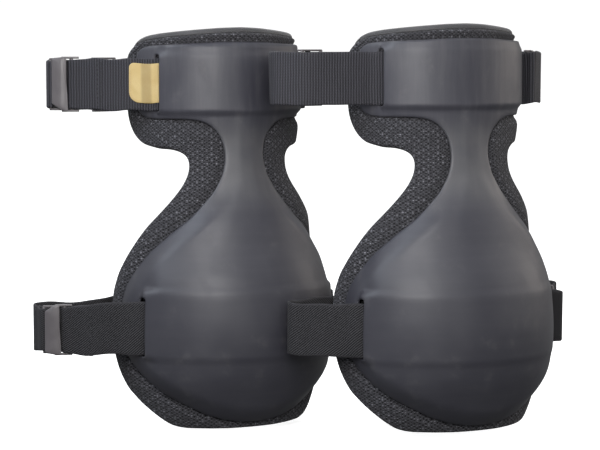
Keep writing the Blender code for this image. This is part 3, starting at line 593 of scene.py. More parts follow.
def mesh_from(name, verts, faces, flat_uv=None, smooth_angle=55.0):
    me = bpy.data.meshes.new(name)
    me.from_pydata([tuple(map(float, v)) for v in np.asarray(verts) * MM], [], faces)
    me.validate()
    bm = bmesh.new()
    bm.from_mesh(me)
    if bm.calc_volume(signed=True) < 0:
        bmesh.ops.reverse_faces(bm, faces=bm.faces)
    bm.to_mesh(me)
    bm.free()
    if flat_uv is not None:
        layer = me.uv_layers.new(name="flat")
        idx = np.empty(len(me.loops), np.int32)
        me.loops.foreach_get("vertex_index", idx)
        layer.data.foreach_set("uv", (np.asarray(flat_uv, float)[idx] * MM).astype(np.float32).ravel())
    me.shade_smooth()
    me.set_sharp_from_angle(angle=math.radians(smooth_angle))
    return me


def piece(name, mesh, mat, body, at=(0, 0, 0), turn=0.0, replaces=None):
    ob = bpy.data.objects.new(name, mesh)
    if not mesh.materials:
        mesh.materials.append(mat)
    bpy.context.scene.collection.objects.link(ob)
    ob.location = Vector(tuple(map(float, at))) * MM
    ob.rotation_euler = (0, 0, turn)
    bpy.context.view_layer.update()
    if body:
        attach(ob, body)
    if replaces:
        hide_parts(*replaces)
    return ob


def slot_loop(pad, which, side, grow=0.0):
    """The slot's outline with rounded corners."""
    a0, a1, z0, z1 = SLOT[(pad, which)]
    x0, x1 = math.radians(a0) * UNROLL - grow, math.radians(a1) * UNROLL + grow
    z0, z1 = z0 - grow, z1 + grow
    r = 1.5
    out = []
    for cx, cz, start in ((x1 - r, z1 - r, 0), (x0 + r, z1 - r, 90), (x0 + r, z0 + r, 180), (x1 - r, z0 + r, 270)):
        for k in range(4):
            a = math.radians(start + 30 * k)
            out.append((cx + r * math.cos(a), cz + r * math.sin(a)))
    p = resample(np.array(out), 1.5)
    p[:, 0] *= side
    return turn_left(p)


def edge_round(d, reach):
    """0 at the edge to 1 at reach, as a quarter circle."""
    t = np.clip(d / reach, 0, 1)
    return np.sqrt(np.maximum(0.0, 1 - (1 - t) ** 2))


def make_shell(pad):
    holes = [slot_loop(pad, w, s) for w in ("upper", "lower") for s in (-1, 1)]
    edges = [e for w in ("upper", "lower") for e in channel_edges(pad, w)]
    z = [-62]
    while z[-1] < 213:
        near = min(abs(z[-1] - e) for e in edges)
        z.append(z[-1] + (0.75 if near < 3.6 else 2.0))
    v, f = pattern(SHELL_EDGE, holes, 2.1, (0.35, 0.9, 1.7, 2.8), z)
    d = edge_distance(v, SHELL_EDGE)
    dh = d.copy()
    for h in holes:
        dh = np.minimum(dh, edge_distance(v, h))
    low = GAP + dome(v, d) + CHANNEL_RISE * channel(v, pad)
    # the rim turns in a little towards the liner
    turn_in = 0.35 * (1 - smooth(d / 4.0))
    r = edge_round(dh, 1.5)
    top = low - turn_in + SHELL_T * (0.52 + 0.48 * r)
    bottom = low - turn_in + SHELL_T * 0.30 * (1 - edge_round(dh, 0.9))
    return sheet_solid(v, f, top, bottom)


def make_liner():
    """Foam liner: held flat under the shell, and fuller where it comes out round the shell's edge."""
    half = [(a, min(z, z - LIP * float(smooth((z - 200) / 10.0)))) for a, z in LINER_HALF]
    edge = inset(turn_left(rounded(flat(half), 2.6, 10)), -0.9)
    v, f = pattern(edge, [], 3.0, (0.45, 1.0, 1.8, 2.8, 4.0))
    d = edge_distance(v, edge)
    out = np.where(inside(v, SHELL_EDGE), -1, 1) * edge_distance(v, SHELL_EDGE)
    full = smooth((out + 0.5) / 7.0)
    r = edge_round(d, 3.0)
    ang = np.degrees(v[:, 0] / UNROLL)
    # the outer wing stands off the leg a little more
    full = full * (2.7 + 0.6 * smooth((ang - 46) / 14.0) * smooth((v[:, 1] - 112) / 24.0))
    top = full - (LINER_T * 0.5 + 0.8 * full) * (1 - r)
    low = -LINER_T + LINER_T * 0.42 * (1 - r)
    return sheet_solid(v, f, top, low), d


def make_lining():
    """Smooth lining on the leg side; along the thigh it rolls forward over the foam's top edge as a lip."""
    v, f = pattern(LINER_EDGE, [], 3.4, (0.5, 1.2, 2.2, 3.4, 5.0))
    d = edge_distance(v, LINER_EDGE)
    ang = np.degrees(np.abs(v[:, 0]) / UNROLL)
    top_z = np.interp(ang, [a for a, z in LINER_HALF[:11]], [z for a, z in LINER_HALF[:11]])
    below = top_z - v[:, 1]
    r = edge_round(d, 1.4)
    base_out = -LINER_T - 2 * GAP
    lip = smooth((LIP + 0.1 - below) / 1.2) * smooth((88.0 - ang) / 5.0) * smooth((v[:, 1] - 195) / 10.0)
    rolled = -0.3 - 3.8 * (1 - edge_round(d, 3.2))
    out = base_out - 0.5 * LINING_T * (1 - r)
    out = out + (rolled - out) * lip
    inner = base_out - LINING_T + 0.35 * LINING_T * (1 - r)
    inner = inner + lip * 1.6 * (1 - edge_round(d, 3.2))
    return sheet_solid(v, f, out, inner)


# ------------------------------------------------------------------ straps


def fillet(points, radii, step=3.0, turn=9.0):
    """A polyline with rounded corners, as plan points no further apart than step."""
    p = [np.array(q, float) for q in points]
    out = [p[0]]
    for i in range(1, len(p) - 1):
        a, b = p[i - 1] - p[i], p[i + 1] - p[i]
        la, lb = np.linalg.norm(a), np.linalg.norm(b)
        a, b = a / la, b / lb
        angle = math.acos(float(np.clip(a @ b, -1, 1)))
        bend = math.pi - angle
        if bend < 0.01:
            out.append(p[i])
            continue
        r = radii[i - 1]
        cut = min(r / math.tan(angle / 2), 0.48 * la, 0.48 * lb)
        r = cut * math.tan(angle / 2)
        centre = p[i] + (a + b) / np.linalg.norm(a + b) * (r / math.sin(angle / 2))
        s, e = p[i] + a * cut, p[i] + b * cut
        n = max(2, int(math.ceil(math.degrees(bend) / turn)), int(math.ceil(bend * r / step)))
        u, w = s - centre, e - centre
        for k in range(n + 1):
            t = k / n
            k0, k1 = math.sin((1 - t) * bend), math.sin(t * bend)
            out.append(centre + (u * k0 + w * k1) / math.sin(bend))
    out.append(p[-1])
    clean = [out[0]]
    for q in out[1:]:
        gap = np.linalg.norm(q - clean[-1])
        if gap <= 0.3:
            continue
        n = int(math.ceil(gap / step))
        a = clean[-1]
        for k in range(1, n + 1):
            clean.append(a + (q - a) * k / n)
    return clean


def side_normals(path):
    p = np.array(path)
    d = np.zeros_like(p)
    seg = np.diff(p, axis=0)
    seg /= np.linalg.norm(seg, axis=1, keepdims=True)
    d[0], d[-1] = seg[0], seg[-1]
    d[1:-1] = seg[:-1] + seg[1:]
    d /= np.linalg.norm(d, axis=1, keepdims=True)
    n = np.stack([-d[:, 1], d[:, 0]], -1)
    k = np.ones(len(p))
    cosine = np.clip((seg[:-1] * d[1:-1]).sum(1), 0.75, 1)
    k[1:-1] = 1 / cosine
    return n * k[:, None]


# The section of a strap, once round it: place across the strap (half widths) and through it (half thicknesses).
def section(across=13, roll=5):
    pts = []
    edge = 1 - 1.4 * (STRAP_T / 2) / (STRAP_W / 2)
    for u in np.linspace(edge, -edge, across):
        pts.append((u, 1.0))
    for a in np.linspace(math.pi / 2, 3 * math.pi / 2, roll)[1:-1]:
        pts.append((-edge + (1 - edge) * math.cos(a), math.sin(a)))
    for u in np.linspace(-edge, edge, across):
        pts.append((u, -1.0))
    for a in np.linspace(-math.pi / 2, math.pi / 2, roll)[1:-1]:
        pts.append((edge + (1 - edge) * math.cos(a), math.sin(a)))
    return np.array(pts)


SECTION = section()


def length_along(p):
    return np.concatenate([[0], np.cumsum(np.linalg.norm(np.diff(np.asarray(p), axis=0), axis=1))])


def sagged(path, zc, sag):
    """Heights of a strap's middle that hangs lower by sag between its two ends."""
    s = length_along(path)
    return zc - sag * smooth((s - 12) / 40.0) * smooth((s[-1] - 34 - s) / 40.0)


def eye(centre, direction, side, bar_r, back, steps=16):
    c, d = np.array(centre, float), np.array(direction, float)
    m = np.array([-d[1], d[0]]) * side
    rho = bar_r + 0.35 + STRAP_T / 2
    lift = 1.1
    pts = [c - d * (back + 2.0) + m * lift, c - d * 8.5 + m * lift]
    for k in range(1, 7):
        t = k / 6
        pts.append(c - d * (8.5 - 5.9 * t) + m * (lift + (rho - lift) * float(smooth(t))))
    for k in range(0, steps + 1):
        t = math.pi * k / steps
        pts.append(c + m * rho * math.cos(t) + d * rho * math.sin(t))
    near = lift - (STRAP_T + 0.35)
    for k in range(0, 7):
        t = k / 6
        pts.append(c - d * (2.6 + 5.9 * t) + m * (-rho + (near + rho) * float(smooth(t))))
    n = max(2, int(back / 3))
    for k in range(1, n + 1):
        pts.append(c - d * (8.5 + (back - 8.5) * k / n) + m * near)
    return pts


LAYOUT = {
    ("left", "upper"): {
        "tab": [(-57, -60.5)],
        "tab_r": [40],
        "bar": (-94.9, -52.0),
        "heading": 177.0,
        "rear": [(71.5, 50), (30, 68), (-46, 56), (-99, 0), (-112, -24)],
        "rear_r": [24, 45, 60, 40, 30],
        "slider": 2,
        "sewn": (24.0, 16.0),
        "sag": 1.4,
        "lift": 0.6,
    },
    ("left", "lower"): {
        "tab": [(-66, -81.5)],
        "tab_r": [40],
        "bar": (-99.5, -69.0),
        "heading": 176.0,
        "rear": [(97, 14), (92, 50), (36, 70), (-34, 42), (-74, -14), (-106, -32), (-125, -48)],
        "rear_r": [30, 22, 45, 50, 30, 14, 9],
        "slider": 2,
        "sewn": (22.0, 12.0),
        "sag": 3.0,
        "drop": 2.8,
        "squeeze": 0.925,
    },
    ("right", "upper"): {
        "tab": [(83.5, -2), (90.6, 14)],
        "tab_r": [10, 12],
        "bar": (82.5, 42.5),
        "heading": 78.0,
        "rear": [(-88, -73), (-116, -62), (-104, -38), (-58, 2), (-48, 44), (-6, 72), (58, 84), (89, 80)],
        "rear_r": [30, 14, 16, 26, 26, 40, 40, 14],
        "slider": 2,
        "sewn": (22.0, 16.0),
        "sag": 0.0,
    },
    ("right", "lower"): {
        "tab": [(108.5, 11)],
        "tab_r": [17],
        "bar": (99.5, 38.0),
        "heading": 84.0,
        "rear": [(-76, -76), (-101.5, -66), (-93, -50), (-58, -14), (-52, 34), (-8, 74), (60, 97), (106, 92), (111.5, 76)],
        "rear_r": [40, 11, 11, 30, 30, 40, 50, 14, 12],
        "slider": 5,
        "sewn": (20.0, 12.0),
        "sag": 0.0,
    },
}


def shell_low(a_deg, z):
    """Underside of the shell over the liner, where a strap runs."""
    v = np.stack([np.radians(a_deg) * UNROLL, z], -1)
    return GAP + dome(v, edge_distance(v, SHELL_EDGE))


def under_shell(slot, zc, side):
    """Grid of the strap's middle surface between liner and shell, from the hook side to the other slot: angles,
    points and normals."""
    near, far = slot[0], slot[1]
    edge = far + 0.7
    rows = SECTION[:, 0] * STRAP_W / 2
    out = near + (edge - near) * np.array([0.15, 0.4, 0.7, 1.0])
    angles = np.concatenate([-out[::-1], np.linspace(-near + 0.6, near - 0.6, 49), out])
    if side > 0:
        angles = -angles
    pts, nrm = [], []
    for a in angles:
        z = zc + rows
        th = np.full(len(rows), math.radians(a))
        d = shell_low(np.full(len(rows), a), z) - GAP
        rise = float(smooth((abs(a) - near + 0.6) / (edge - near + 0.6)))
        lo = d + 0.9 + (GAP + SHELL_T + 2.2 - 0.9) * rise
        inner = on_pad(th, z, lo)
        outer = on_pad(th, z, lo + STRAP_T)
        pts.append((inner + outer) / 2)
        nrm.append((outer - inner) / STRAP_T)
    return angles, np.array(pts), np.array(nrm)


class Band:
    """A strap's middle surface: for each station, points and outward normals across the width, and its length."""

    def __init__(self, mid, nrm, sect=SECTION):
        self.mid, self.nrm, self.sect = np.asarray(mid, float), np.asarray(nrm, float), sect
        self.nrm /= np.linalg.norm(self.nrm, axis=-1, keepdims=True)
        m = self.mid.mean(1)
        self.s = length_along(m)
        self.order = np.argsort(sect[: len(sect) // 2, 0])
        self.half = STRAP_W / 2

    def wave(self, seed, amount, reach, still=()):
        """Small waviness of the strap's edges and face, still at the two ends and within each (centre, half length)."""
        rng = np.random.default_rng(seed)
        for _ in range(5):
            k = 2 * math.pi / rng.uniform(26, 70)
            ph, ph2 = rng.uniform(0, 6.28, 2)
            gate = smooth(self.s / reach) * smooth((self.s[-1] - self.s) / reach)
            for centre, half in still:
                gate = gate * smooth((np.abs(self.s - centre) - half) / 12.0)
            self.mid[:, :, 2] += (np.sin(self.s * k + ph) * gate * amount * 0.5)[:, None]
            tilt = self.sect[None, :, 0] * np.sin(self.s * k * 1.3 + ph2)[:, None] * gate[:, None]
            self.mid += self.nrm * (tilt * amount * 0.5)[:, :, None]
        return self

    def mesh(self, name, half_t=STRAP_T / 2, origin=(0, 0, 0), u_shift=0.0):
        n, k = self.mid.shape[:2]
        t = self.sect[:, 1] * half_t
        verts = (self.mid + self.nrm * t[None, :, None]).reshape(-1, 3)
        uv = np.stack(np.broadcast_arrays(self.s[:, None] + u_shift, self.sect[None, :, 0] * self.half), -1).reshape(-1, 2)
        faces = []
        for i in range(n - 1):
            for j in range(k):
                a, b = i * k + j, i * k + (j + 1) % k
                faces.append((a, b, b + k, a + k))
        verts, uv = list(verts), list(uv)
        for end, flip in ((0, False), (n - 1, True)):
            rim = [end * k + j for j in range(k)]
            c = len(verts)
            verts.append(np.mean([verts[q] for q in rim], axis=0))
            uv.append((self.s[end] + u_shift, 0.0))
            for j in range(k):
                f = (rim[j], c, rim[(j + 1) % k])
                faces.append(f[::-1] if flip else f)
        return mesh_from(name, np.array(verts) - np.asarray(origin, float), faces, np.array(uv), 60)

    def at(self, s, w, off):
        """Points and normals at lengths s and heights w, off outwards from the middle surface."""
        s, w = np.atleast_1d(s).astype(float), np.atleast_1d(w).astype(float)
        cols = self.order
        u = self.sect[cols, 0] * self.half
        out, nor = np.empty((len(s), 3)), np.empty((len(s), 3))
        i = np.clip(np.searchsorted(self.s, s) - 1, 0, len(self.s) - 2)
        f = (s - self.s[i]) / (self.s[i + 1] - self.s[i])
        for q in range(len(s)):
            for arr, dst in ((self.mid, out), (self.nrm, nor)):
                a, b = arr[i[q]][cols], arr[i[q] + 1][cols]
                line = a + (b - a) * f[q]
                dst[q] = [np.interp(w[q], u, line[:, c]) for c in range(3)]
        nor /= np.linalg.norm(nor, axis=1, keepdims=True)
        return out + nor * off, nor


def upright_band(path, zc, outward, sect=SECTION, half=STRAP_W / 2):
    """mid and nrm grids of a strap standing on a plan path; outward is +1 where the outer face is on the left."""
    p, n = np.array(path), side_normals(path) * outward
    k = len(sect)
    mid = np.zeros((len(p), k, 3))
    nrm = np.zeros((len(p), k, 3))
    mid[:, :, :2] = p[:, None]
    mid[:, :, 2] = np.broadcast_to(zc, len(p))[:, None] + sect[None, :, 0] * half
    nrm[:, :, :2] = n[:, None]
    return mid, nrm


def thread(points, radius, sides=6):
    """Verts and faces of a closed round thread through points, with tapered ends."""
    p = np.asarray(points, float)
    d = np.gradient(p, axis=0)
    d /= np.linalg.norm(d, axis=1, keepdims=True)
    ref = np.array([0.31, 0.53, 0.79])
    verts, faces = [], []
    n = len(p)
    for i in range(n):
        a = np.cross(d[i], ref)
        a /= np.linalg.norm(a)
        b = np.cross(d[i], a)
        r = radius * (0.45 if i in (0, n - 1) else 1.0)
        for k in range(sides):
            t = 2 * math.pi * k / sides
            verts.append(p[i] + (a * math.cos(t) + b * math.sin(t)) * r)
    for i in range(n - 1):
        for k in range(sides):
            q, w = i * sides + k, i * sides + (k + 1) % sides
            faces.append((q, w, w + sides, q + sides))
    faces.append(tuple(range(sides))[::-1])
    faces.append(tuple((n - 1) * sides + k for k in range(sides)))
    return verts, faces


def stitches(band, lines, off, stitch=2.5, gap=0.9, radius=0.32, flip=False):
    """Stitches laid along lines of (s, w) points on a band's face, each one arched over the fabric."""
    verts, faces = [], []
    for line in lines:
        line = np.array(line, float)
        d = np.concatenate([[0], np.cumsum(np.hypot(*np.diff(line, axis=0).T))])
        n = max(1, int(round(d[-1] / (stitch + gap))))
        pitch = d[-1] / n
        for k in range(n):
            t = k * pitch + np.linspace(0, pitch - gap, 5)
            s, w = np.interp(t, d, line[:, 0]), np.interp(t, d, line[:, 1])
            lift = np.array([-0.30, 0.08, 0.18, 0.08, -0.30])
            p, nor = band.at(s, w, 0.0)
            p = p + nor * ((off + lift)[:, None] if not flip else (-(off + lift))[:, None])
            a, b = thread(p, radius)
            base = len(verts)
            verts += list(a)
            faces += [tuple(base + i for i in f) for f in b]
    return np.array(verts), faces


# ------------------------------------------------------------------ hard pieces


def bar(p0, p1, r, sides=20, squash=1.0):
    """A round bar from p0 to p1 with eased ends."""
    p0, p1 = np.array(p0, float), np.array(p1, float)
    d = p1 - p0
    length = np.linalg.norm(d)
    d /= length
    ref = np.array([0, 0, 1.0]) if abs(d[2]) < 0.9 else np.array([1.0, 0, 0])
    a = np.cross(d, ref)
    a /= np.linalg.norm(a)
    b = np.cross(d, a)
    rings = [(0.0, r - 0.35), (0.12, r - 0.1), (0.4, r), (length - 0.4, r), (length - 0.12, r - 0.1), (length, r - 0.35)]
    verts, faces = [], []
    for t, rr in rings:
        for k in range(sides):
            q = 2 * math.pi * k / sides
            verts.append(p0 + d * t + (a * math.cos(q) + b * math.sin(q) * squash) * rr)
    for i in range(len(rings) - 1):
        for k in range(sides):
            q, w = i * sides + k, i * sides + (k + 1) % sides
            faces.append((q, w, w + sides, q + sides))
    faces.append(tuple(range(sides))[::-1])
    faces.append(tuple((len(rings) - 1) * sides + k for k in range(sides)))
    return verts, faces


def slab(loop, z0, z1, ease=0.45):
    """A prism of a plan loop from z0 to z1 with eased top and bottom edges."""
    loop = turn_left(np.array(loop, float))
    rings = [(z0, ease), (z0 + ease * 0.3, ease * 0.3), (z0 + ease, 0.0), (z1 - ease, 0.0), (z1 - ease * 0.3, ease * 0.3), (z1, ease)]
    verts, faces = [], []
    n = len(loop)
    for z, d in rings:
        ring = inset(loop, d) if d else loop
        verts += [(x, y, z) for x, y in ring]
    for i in range(len(rings) - 1):
        for k in range(n):
            q, w = i * n + k, i * n + (k + 1) % n
            faces.append((q, w, w + n, q + n))
    faces.append(tuple(range(n))[::-1])
    faces.append(tuple((len(rings) - 1) * n + k for k in range(n)))
    return verts, faces


def rounded_loop(corners, radii, steps=5):
    """A loop of corners with their own radii."""
    p = [np.array(c, float) for c in corners]
    out = []
    n = len(p)
    for i in range(n):
        a, b = p[i - 1] - p[i], p[(i + 1) % n] - p[i]
        la, lb = np.linalg.norm(a), np.linalg.norm(b)
        a, b = a / la, b / lb
        angle = math.acos(float(np.clip(a @ b, -1, 1)))
        r = radii[i] if np.ndim(radii) else radii
        cut = min(r / math.tan(angle / 2), 0.45 * la, 0.45 * lb)
        r = cut * math.tan(angle / 2)
        if cut < 1e-3:
            out.append(p[i])
            continue
        centre = p[i] + (a + b) / np.linalg.norm(a + b) * (r / math.sin(angle / 2))
        u, w = p[i] + a * cut - centre, p[i] + b * cut - centre
        bend = math.pi - angle
        for k in range(steps + 1):
            t = k / steps
            out.append(centre + (u * math.sin((1 - t) * bend) + w * math.sin(t * bend)) / math.sin(bend))
    return np.array(out)


def plate(outline, step, top, bottom, ease=0.8):
    """A plate over an outline in (x, z), its faces at y = top(x, z) and bottom(x, z), with rounded edges."""
    outline = turn_left(np.array(outline, float))
    v, f = pattern(outline, [], step, (0.12, 0.35, 0.7))
    d = edge_distance(v, outline)
    r = edge_round(d, ease)
    t, b = top(v[:, 0], v[:, 1]), bottom(v[:, 0], v[:, 1])
    mid, half = (t + b) / 2, (t - b) / 2
    k = 0.35 + 0.65 * r
    t, b = mid + half * k, mid - half * k
    n = len(v)
    verts = np.concatenate([np.stack([v[:, 0], t, v[:, 1]], -1), np.stack([v[:, 0], b, v[:, 1]], -1)])
    faces = [tuple(map(int, q)) for q in f] + [tuple(int(n + i) for i in q[::-1]) for q in f]
    edges = set()
    for q in f:
        edges.update(((q[0], q[1]), (q[1], q[2]), (q[2], q[0])))
    for a, c in edges:
        if (c, a) not in edges:
            faces.append((int(c), int(a), int(n + a), int(n + c)))
    return verts, faces


def joined(name, parts, side=1, smooth_angle=50):
    """One mesh of closed parts, mirrored across Y where side is -1."""
    verts, faces = [], []
    for v, f in parts:
        v = np.array(v, float)
        bm = bmesh.new()
        vs = [bm.verts.new(tuple(q)) for q in v]
        for q in f:
            bm.faces.new([vs[i] for i in q])
        bmesh.ops.recalc_face_normals(bm, faces=bm.faces)
        flip = bm.calc_volume(signed=True) < 0
        bm.verts.index_update()
        got = [[q.index for q in face.verts] for face in bm.faces]
        bm.free()
        base = len(verts)
        verts += list(v)
        faces += [tuple(base + i for i in (q[::-1] if flip else q)) for q in got]
    verts = np.array(verts)
    if side < 0:
        verts = verts * [1, -1, 1]
        faces = [q[::-1] for q in faces]
    return mesh_from(name, verts, faces, None, smooth_angle)


def hook_mesh(side, top_cut, low_cut, squeeze=1.0):
    """Hook with its pivot bar at the origin. X runs to the ring; the outer face is on side * Y. The plate's free
    corners are cut away by top_cut and low_cut. Its edge towards the tab slants, wider at the bottom."""
    z = HOOK_OUT - 0.3
    outline = rounded_loop(
        [(1.9, -z), (5.0, -z), (14.1, -z + low_cut), (14.1, z - top_cut), (6.5, z), (3.2, z), (3.1, 4)],
        [1.0, 5.0, 2.6, 2.4, 4.0, 0.9, 9.0], 7,
    )

    def top(x, zz):
        over = np.maximum(0.0, 2.8 - x) * 0.30
        return 4.7 + over + 1.4 * (1 - ((np.maximum(x, 2.6) - 8.35) / 5.8) ** 2) - 0.6 * (np.abs(zz) / z) ** 5

    def bottom(x, zz):
        return np.interp(x, [1.9, 3.2, 4.8, 11.9, 13.0, 14.1], [4.3, 4.2, 2.2, 2.2, 3.0, 3.5])

    parts = [bar((0, 0, -HOOK_OUT + 0.1), (0, 0, HOOK_OUT - 0.1), BAR_R, 22), plate(outline, 1.1, top, bottom, 1.1)]
    tip = rounded_loop([(10.2, 2.6), (10.2, -1.7), (10.6, -2.2), (11.3, -2.2), (11.7, -1.3), (11.7, 2.6)], [0.2, 0.3, 0.3, 0.3, 0.3, 0.2], 3)
    parts.append(slab(tip, -z + low_cut + 2.5, z - top_cut - 2.0, 0.4))
    rail = rounded_loop(
        [(-5.6, -0.9), (-1.7, -1.5), (1.3, -1.6), (6.9, 1.6), (6.9, 3.6), (5.0, 3.6), (-0.8, 1.6), (-5.6, 0.7)],
        [0.7, 1.5, 1.2, 0.3, 0.3, 1.4, 1.2, 0.7], 4,
    )
    parts.append(slab(rail, HOOK_IN, HOOK_OUT, 0.4))
    parts.append(slab(rail, -HOOK_OUT, -HOOK_IN, 0.4))
    parts = [(np.array(v, float) * [1, 1, squeeze], f) for v, f in parts]
    return joined(f"hook_{'a' if side > 0 else 'b'}_{int(top_cut * 10)}", parts, side)


def ring_mesh(squeeze=1.0):
    h, c = RING_HALF, -RING_SP
    parts = [
        bar((c, 0, -RING_OUT - 0.1), (c, 0, RING_OUT + 0.1), h, 18),
        bar((0, 0, -RING_OUT), (0, 0, RING_OUT), h, 18),
    ]
    for s in (1, -1):
        loop = rounded_loop([(c - h, -h), (h, -h), (h, h), (c - h, h)], 0.7, 4)
        lo, hi = sorted((s * RING_IN, s * (RING_OUT + 0.05)))
        parts.append(slab(loop, lo, hi, 0.45))
    parts = [(np.array(v, float) * [1, 1, squeeze], f) for v, f in parts]
    return joined("ring" if squeeze == 1.0 else "ring_c", parts)


def slider_mesh():
    g = STRAP_T / 2 + 0.6
    parts = []
    for s in (1, -1):
        loop = rounded_loop([(-10.5, -g - 1.7), (10.5, -g - 1.7), (10.5, g + 1.7), (-10.5, g + 1.7)], 1.5, 5)
        lo, hi = sorted((s * RAIL_IN, s * RAIL_OUT))
        parts.append(slab(loop, lo, hi, 0.45))
    z = RAIL_OUT - 0.3
    for x0, x1 in ((-10.3, -7.5), (7.5, 10.3)):
        loop = rounded_loop([(x0, -g - 1.6), (x1, -g - 1.6), (x1, -g), (x0, -g)], 0.55, 4)
        parts.append(slab(loop, -z, z, 0.2))
    loop = rounded_loop([(-2.4, g), (2.4, g), (2.4, g + 1.6), (-2.4, g + 1.6)], 0.6, 4)
    parts.append(slab(loop, -z, z, 0.2))
    for k in range(-3, 4):  # grip ridges on the middle bar
        loop = rounded_loop([(k * 0.62 - 0.17, g + 1.4), (k * 0.62 + 0.17, g + 1.4), (k * 0.62 + 0.12, g + 1.68), (k * 0.62 - 0.12, g + 1.68)], 0.06, 2)
        parts.append(slab(loop, -z + 3.0, z - 3.0, 0.1))
    return joined("slider", parts)


# ------------------------------------------------------------------ soft pieces


def puffed(mesh, held, cap, pressure=3.0, frames=18):
    """Runs a cloth simulation on a closed mesh so that it swells where it isn't held, and applies the result. No
    point moves further than cap (metres)."""
    scene = bpy.context.scene
    ob = bpy.data.objects.new("puff", mesh.copy())
    scene.collection.objects.link(ob)
    group = ob.vertex_groups.new(name="held")
    for weight in np.unique(np.round(held, 2)):
        if weight > 0:
            group.add([int(i) for i in np.nonzero(np.round(held, 2) == weight)[0]], float(weight), "REPLACE")
    mod = ob.modifiers.new("cloth", "CLOTH")
    c = mod.settings
    c.quality = 6
    c.mass = 0.25
    c.tension_stiffness = c.compression_stiffness = 22.0
    c.shear_stiffness = 8.0
    c.bending_stiffness = 2.5
    c.use_pressure = True
    c.uniform_pressure_force = pressure
    c.vertex_group_mass = "held"
    c.pin_stiffness = 1.0
    c.effector_weights.gravity = 0.0
    mod.collision_settings.use_collision = False
    mod.point_cache.frame_start, mod.point_cache.frame_end = 1, frames + 2
    scene.frame_start, scene.frame_end = 1, frames + 2
    for k in range(1, frames + 1):
        scene.frame_set(k)
    graph = bpy.context.evaluated_depsgraph_get()
    done = ob.evaluated_get(graph).to_mesh()
    n = len(mesh.vertices)
    a, b = np.empty(n * 3), np.empty(n * 3)
    mesh.vertices.foreach_get("co", a)
    done.vertices.foreach_get("co", b)
    move = (b - a).reshape(-1, 3)
    far = np.linalg.norm(move, axis=1, keepdims=True)
    move *= np.minimum(1.0, cap / np.maximum(far, 1e-9))
    mesh.vertices.foreach_set("co", (a.reshape(-1, 3) + move).ravel())
    mesh.update()
    bpy.data.objects.remove(ob, do_unlink=True)
    scene.frame_set(1)
    return mesh


def relaxed(mesh, passes, lock=None):
    """Evens out small kinks in a mesh by a few passes of averaging."""
    n = len(mesh.vertices)
    co = np.empty(n * 3)
    mesh.vertices.foreach_get("co", co)
    co = co.reshape(-1, 3)
    e = np.empty(len(mesh.edges) * 2, np.int32)
    mesh.edges.foreach_get("vertices", e)
    e = e.reshape(-1, 2)
    deg = np.bincount(e.ravel(), minlength=n).astype(float)
    for _ in range(passes):
        acc = np.zeros_like(co)
        np.add.at(acc, e[:, 0], co[e[:, 1]])
        np.add.at(acc, e[:, 1], co[e[:, 0]])
        new = acc / deg[:, None]
        w = 0.5 if lock is None else 0.5 * (1 - lock)[:, None]
        co = co + (new - co) * w
    mesh.vertices.foreach_set("co", co.ravel())
    mesh.update()


def build_pad_pieces(mats):
    made = {}
    for pad in PAD_AT:
        verts, faces, uv = make_shell(pad)
        made[f"{pad}_outer_shell"] = mesh_from(f"{pad}_outer_shell", verts, faces, uv, 70)

    (verts, faces, uv), edge = make_liner()
    liner = mesh_from("foam_liner", verts, faces, uv, 80)
    n = len(verts) // 2
    under = inside(uv[:n], SHELL_EDGE)
    d = edge_distance(uv[:n], SHELL_EDGE)
    cover = smooth(np.where(under, d, -d) / 8.0 + 1.0)  # 1 under the shell, 0 at 8 mm outside its edge
    held = np.concatenate([np.where(under, 1.0, cover), np.ones(n)])
    rim = edge < 1.0
    held[n:][rim] = 0.35
    puffed(liner, held, 0.0022, 2.5)
    made["foam_liner"] = liner

    verts, faces, uv = make_lining()
    made["inner_lining"] = mesh_from("inner_lining", verts, faces, uv, 80)
    return made


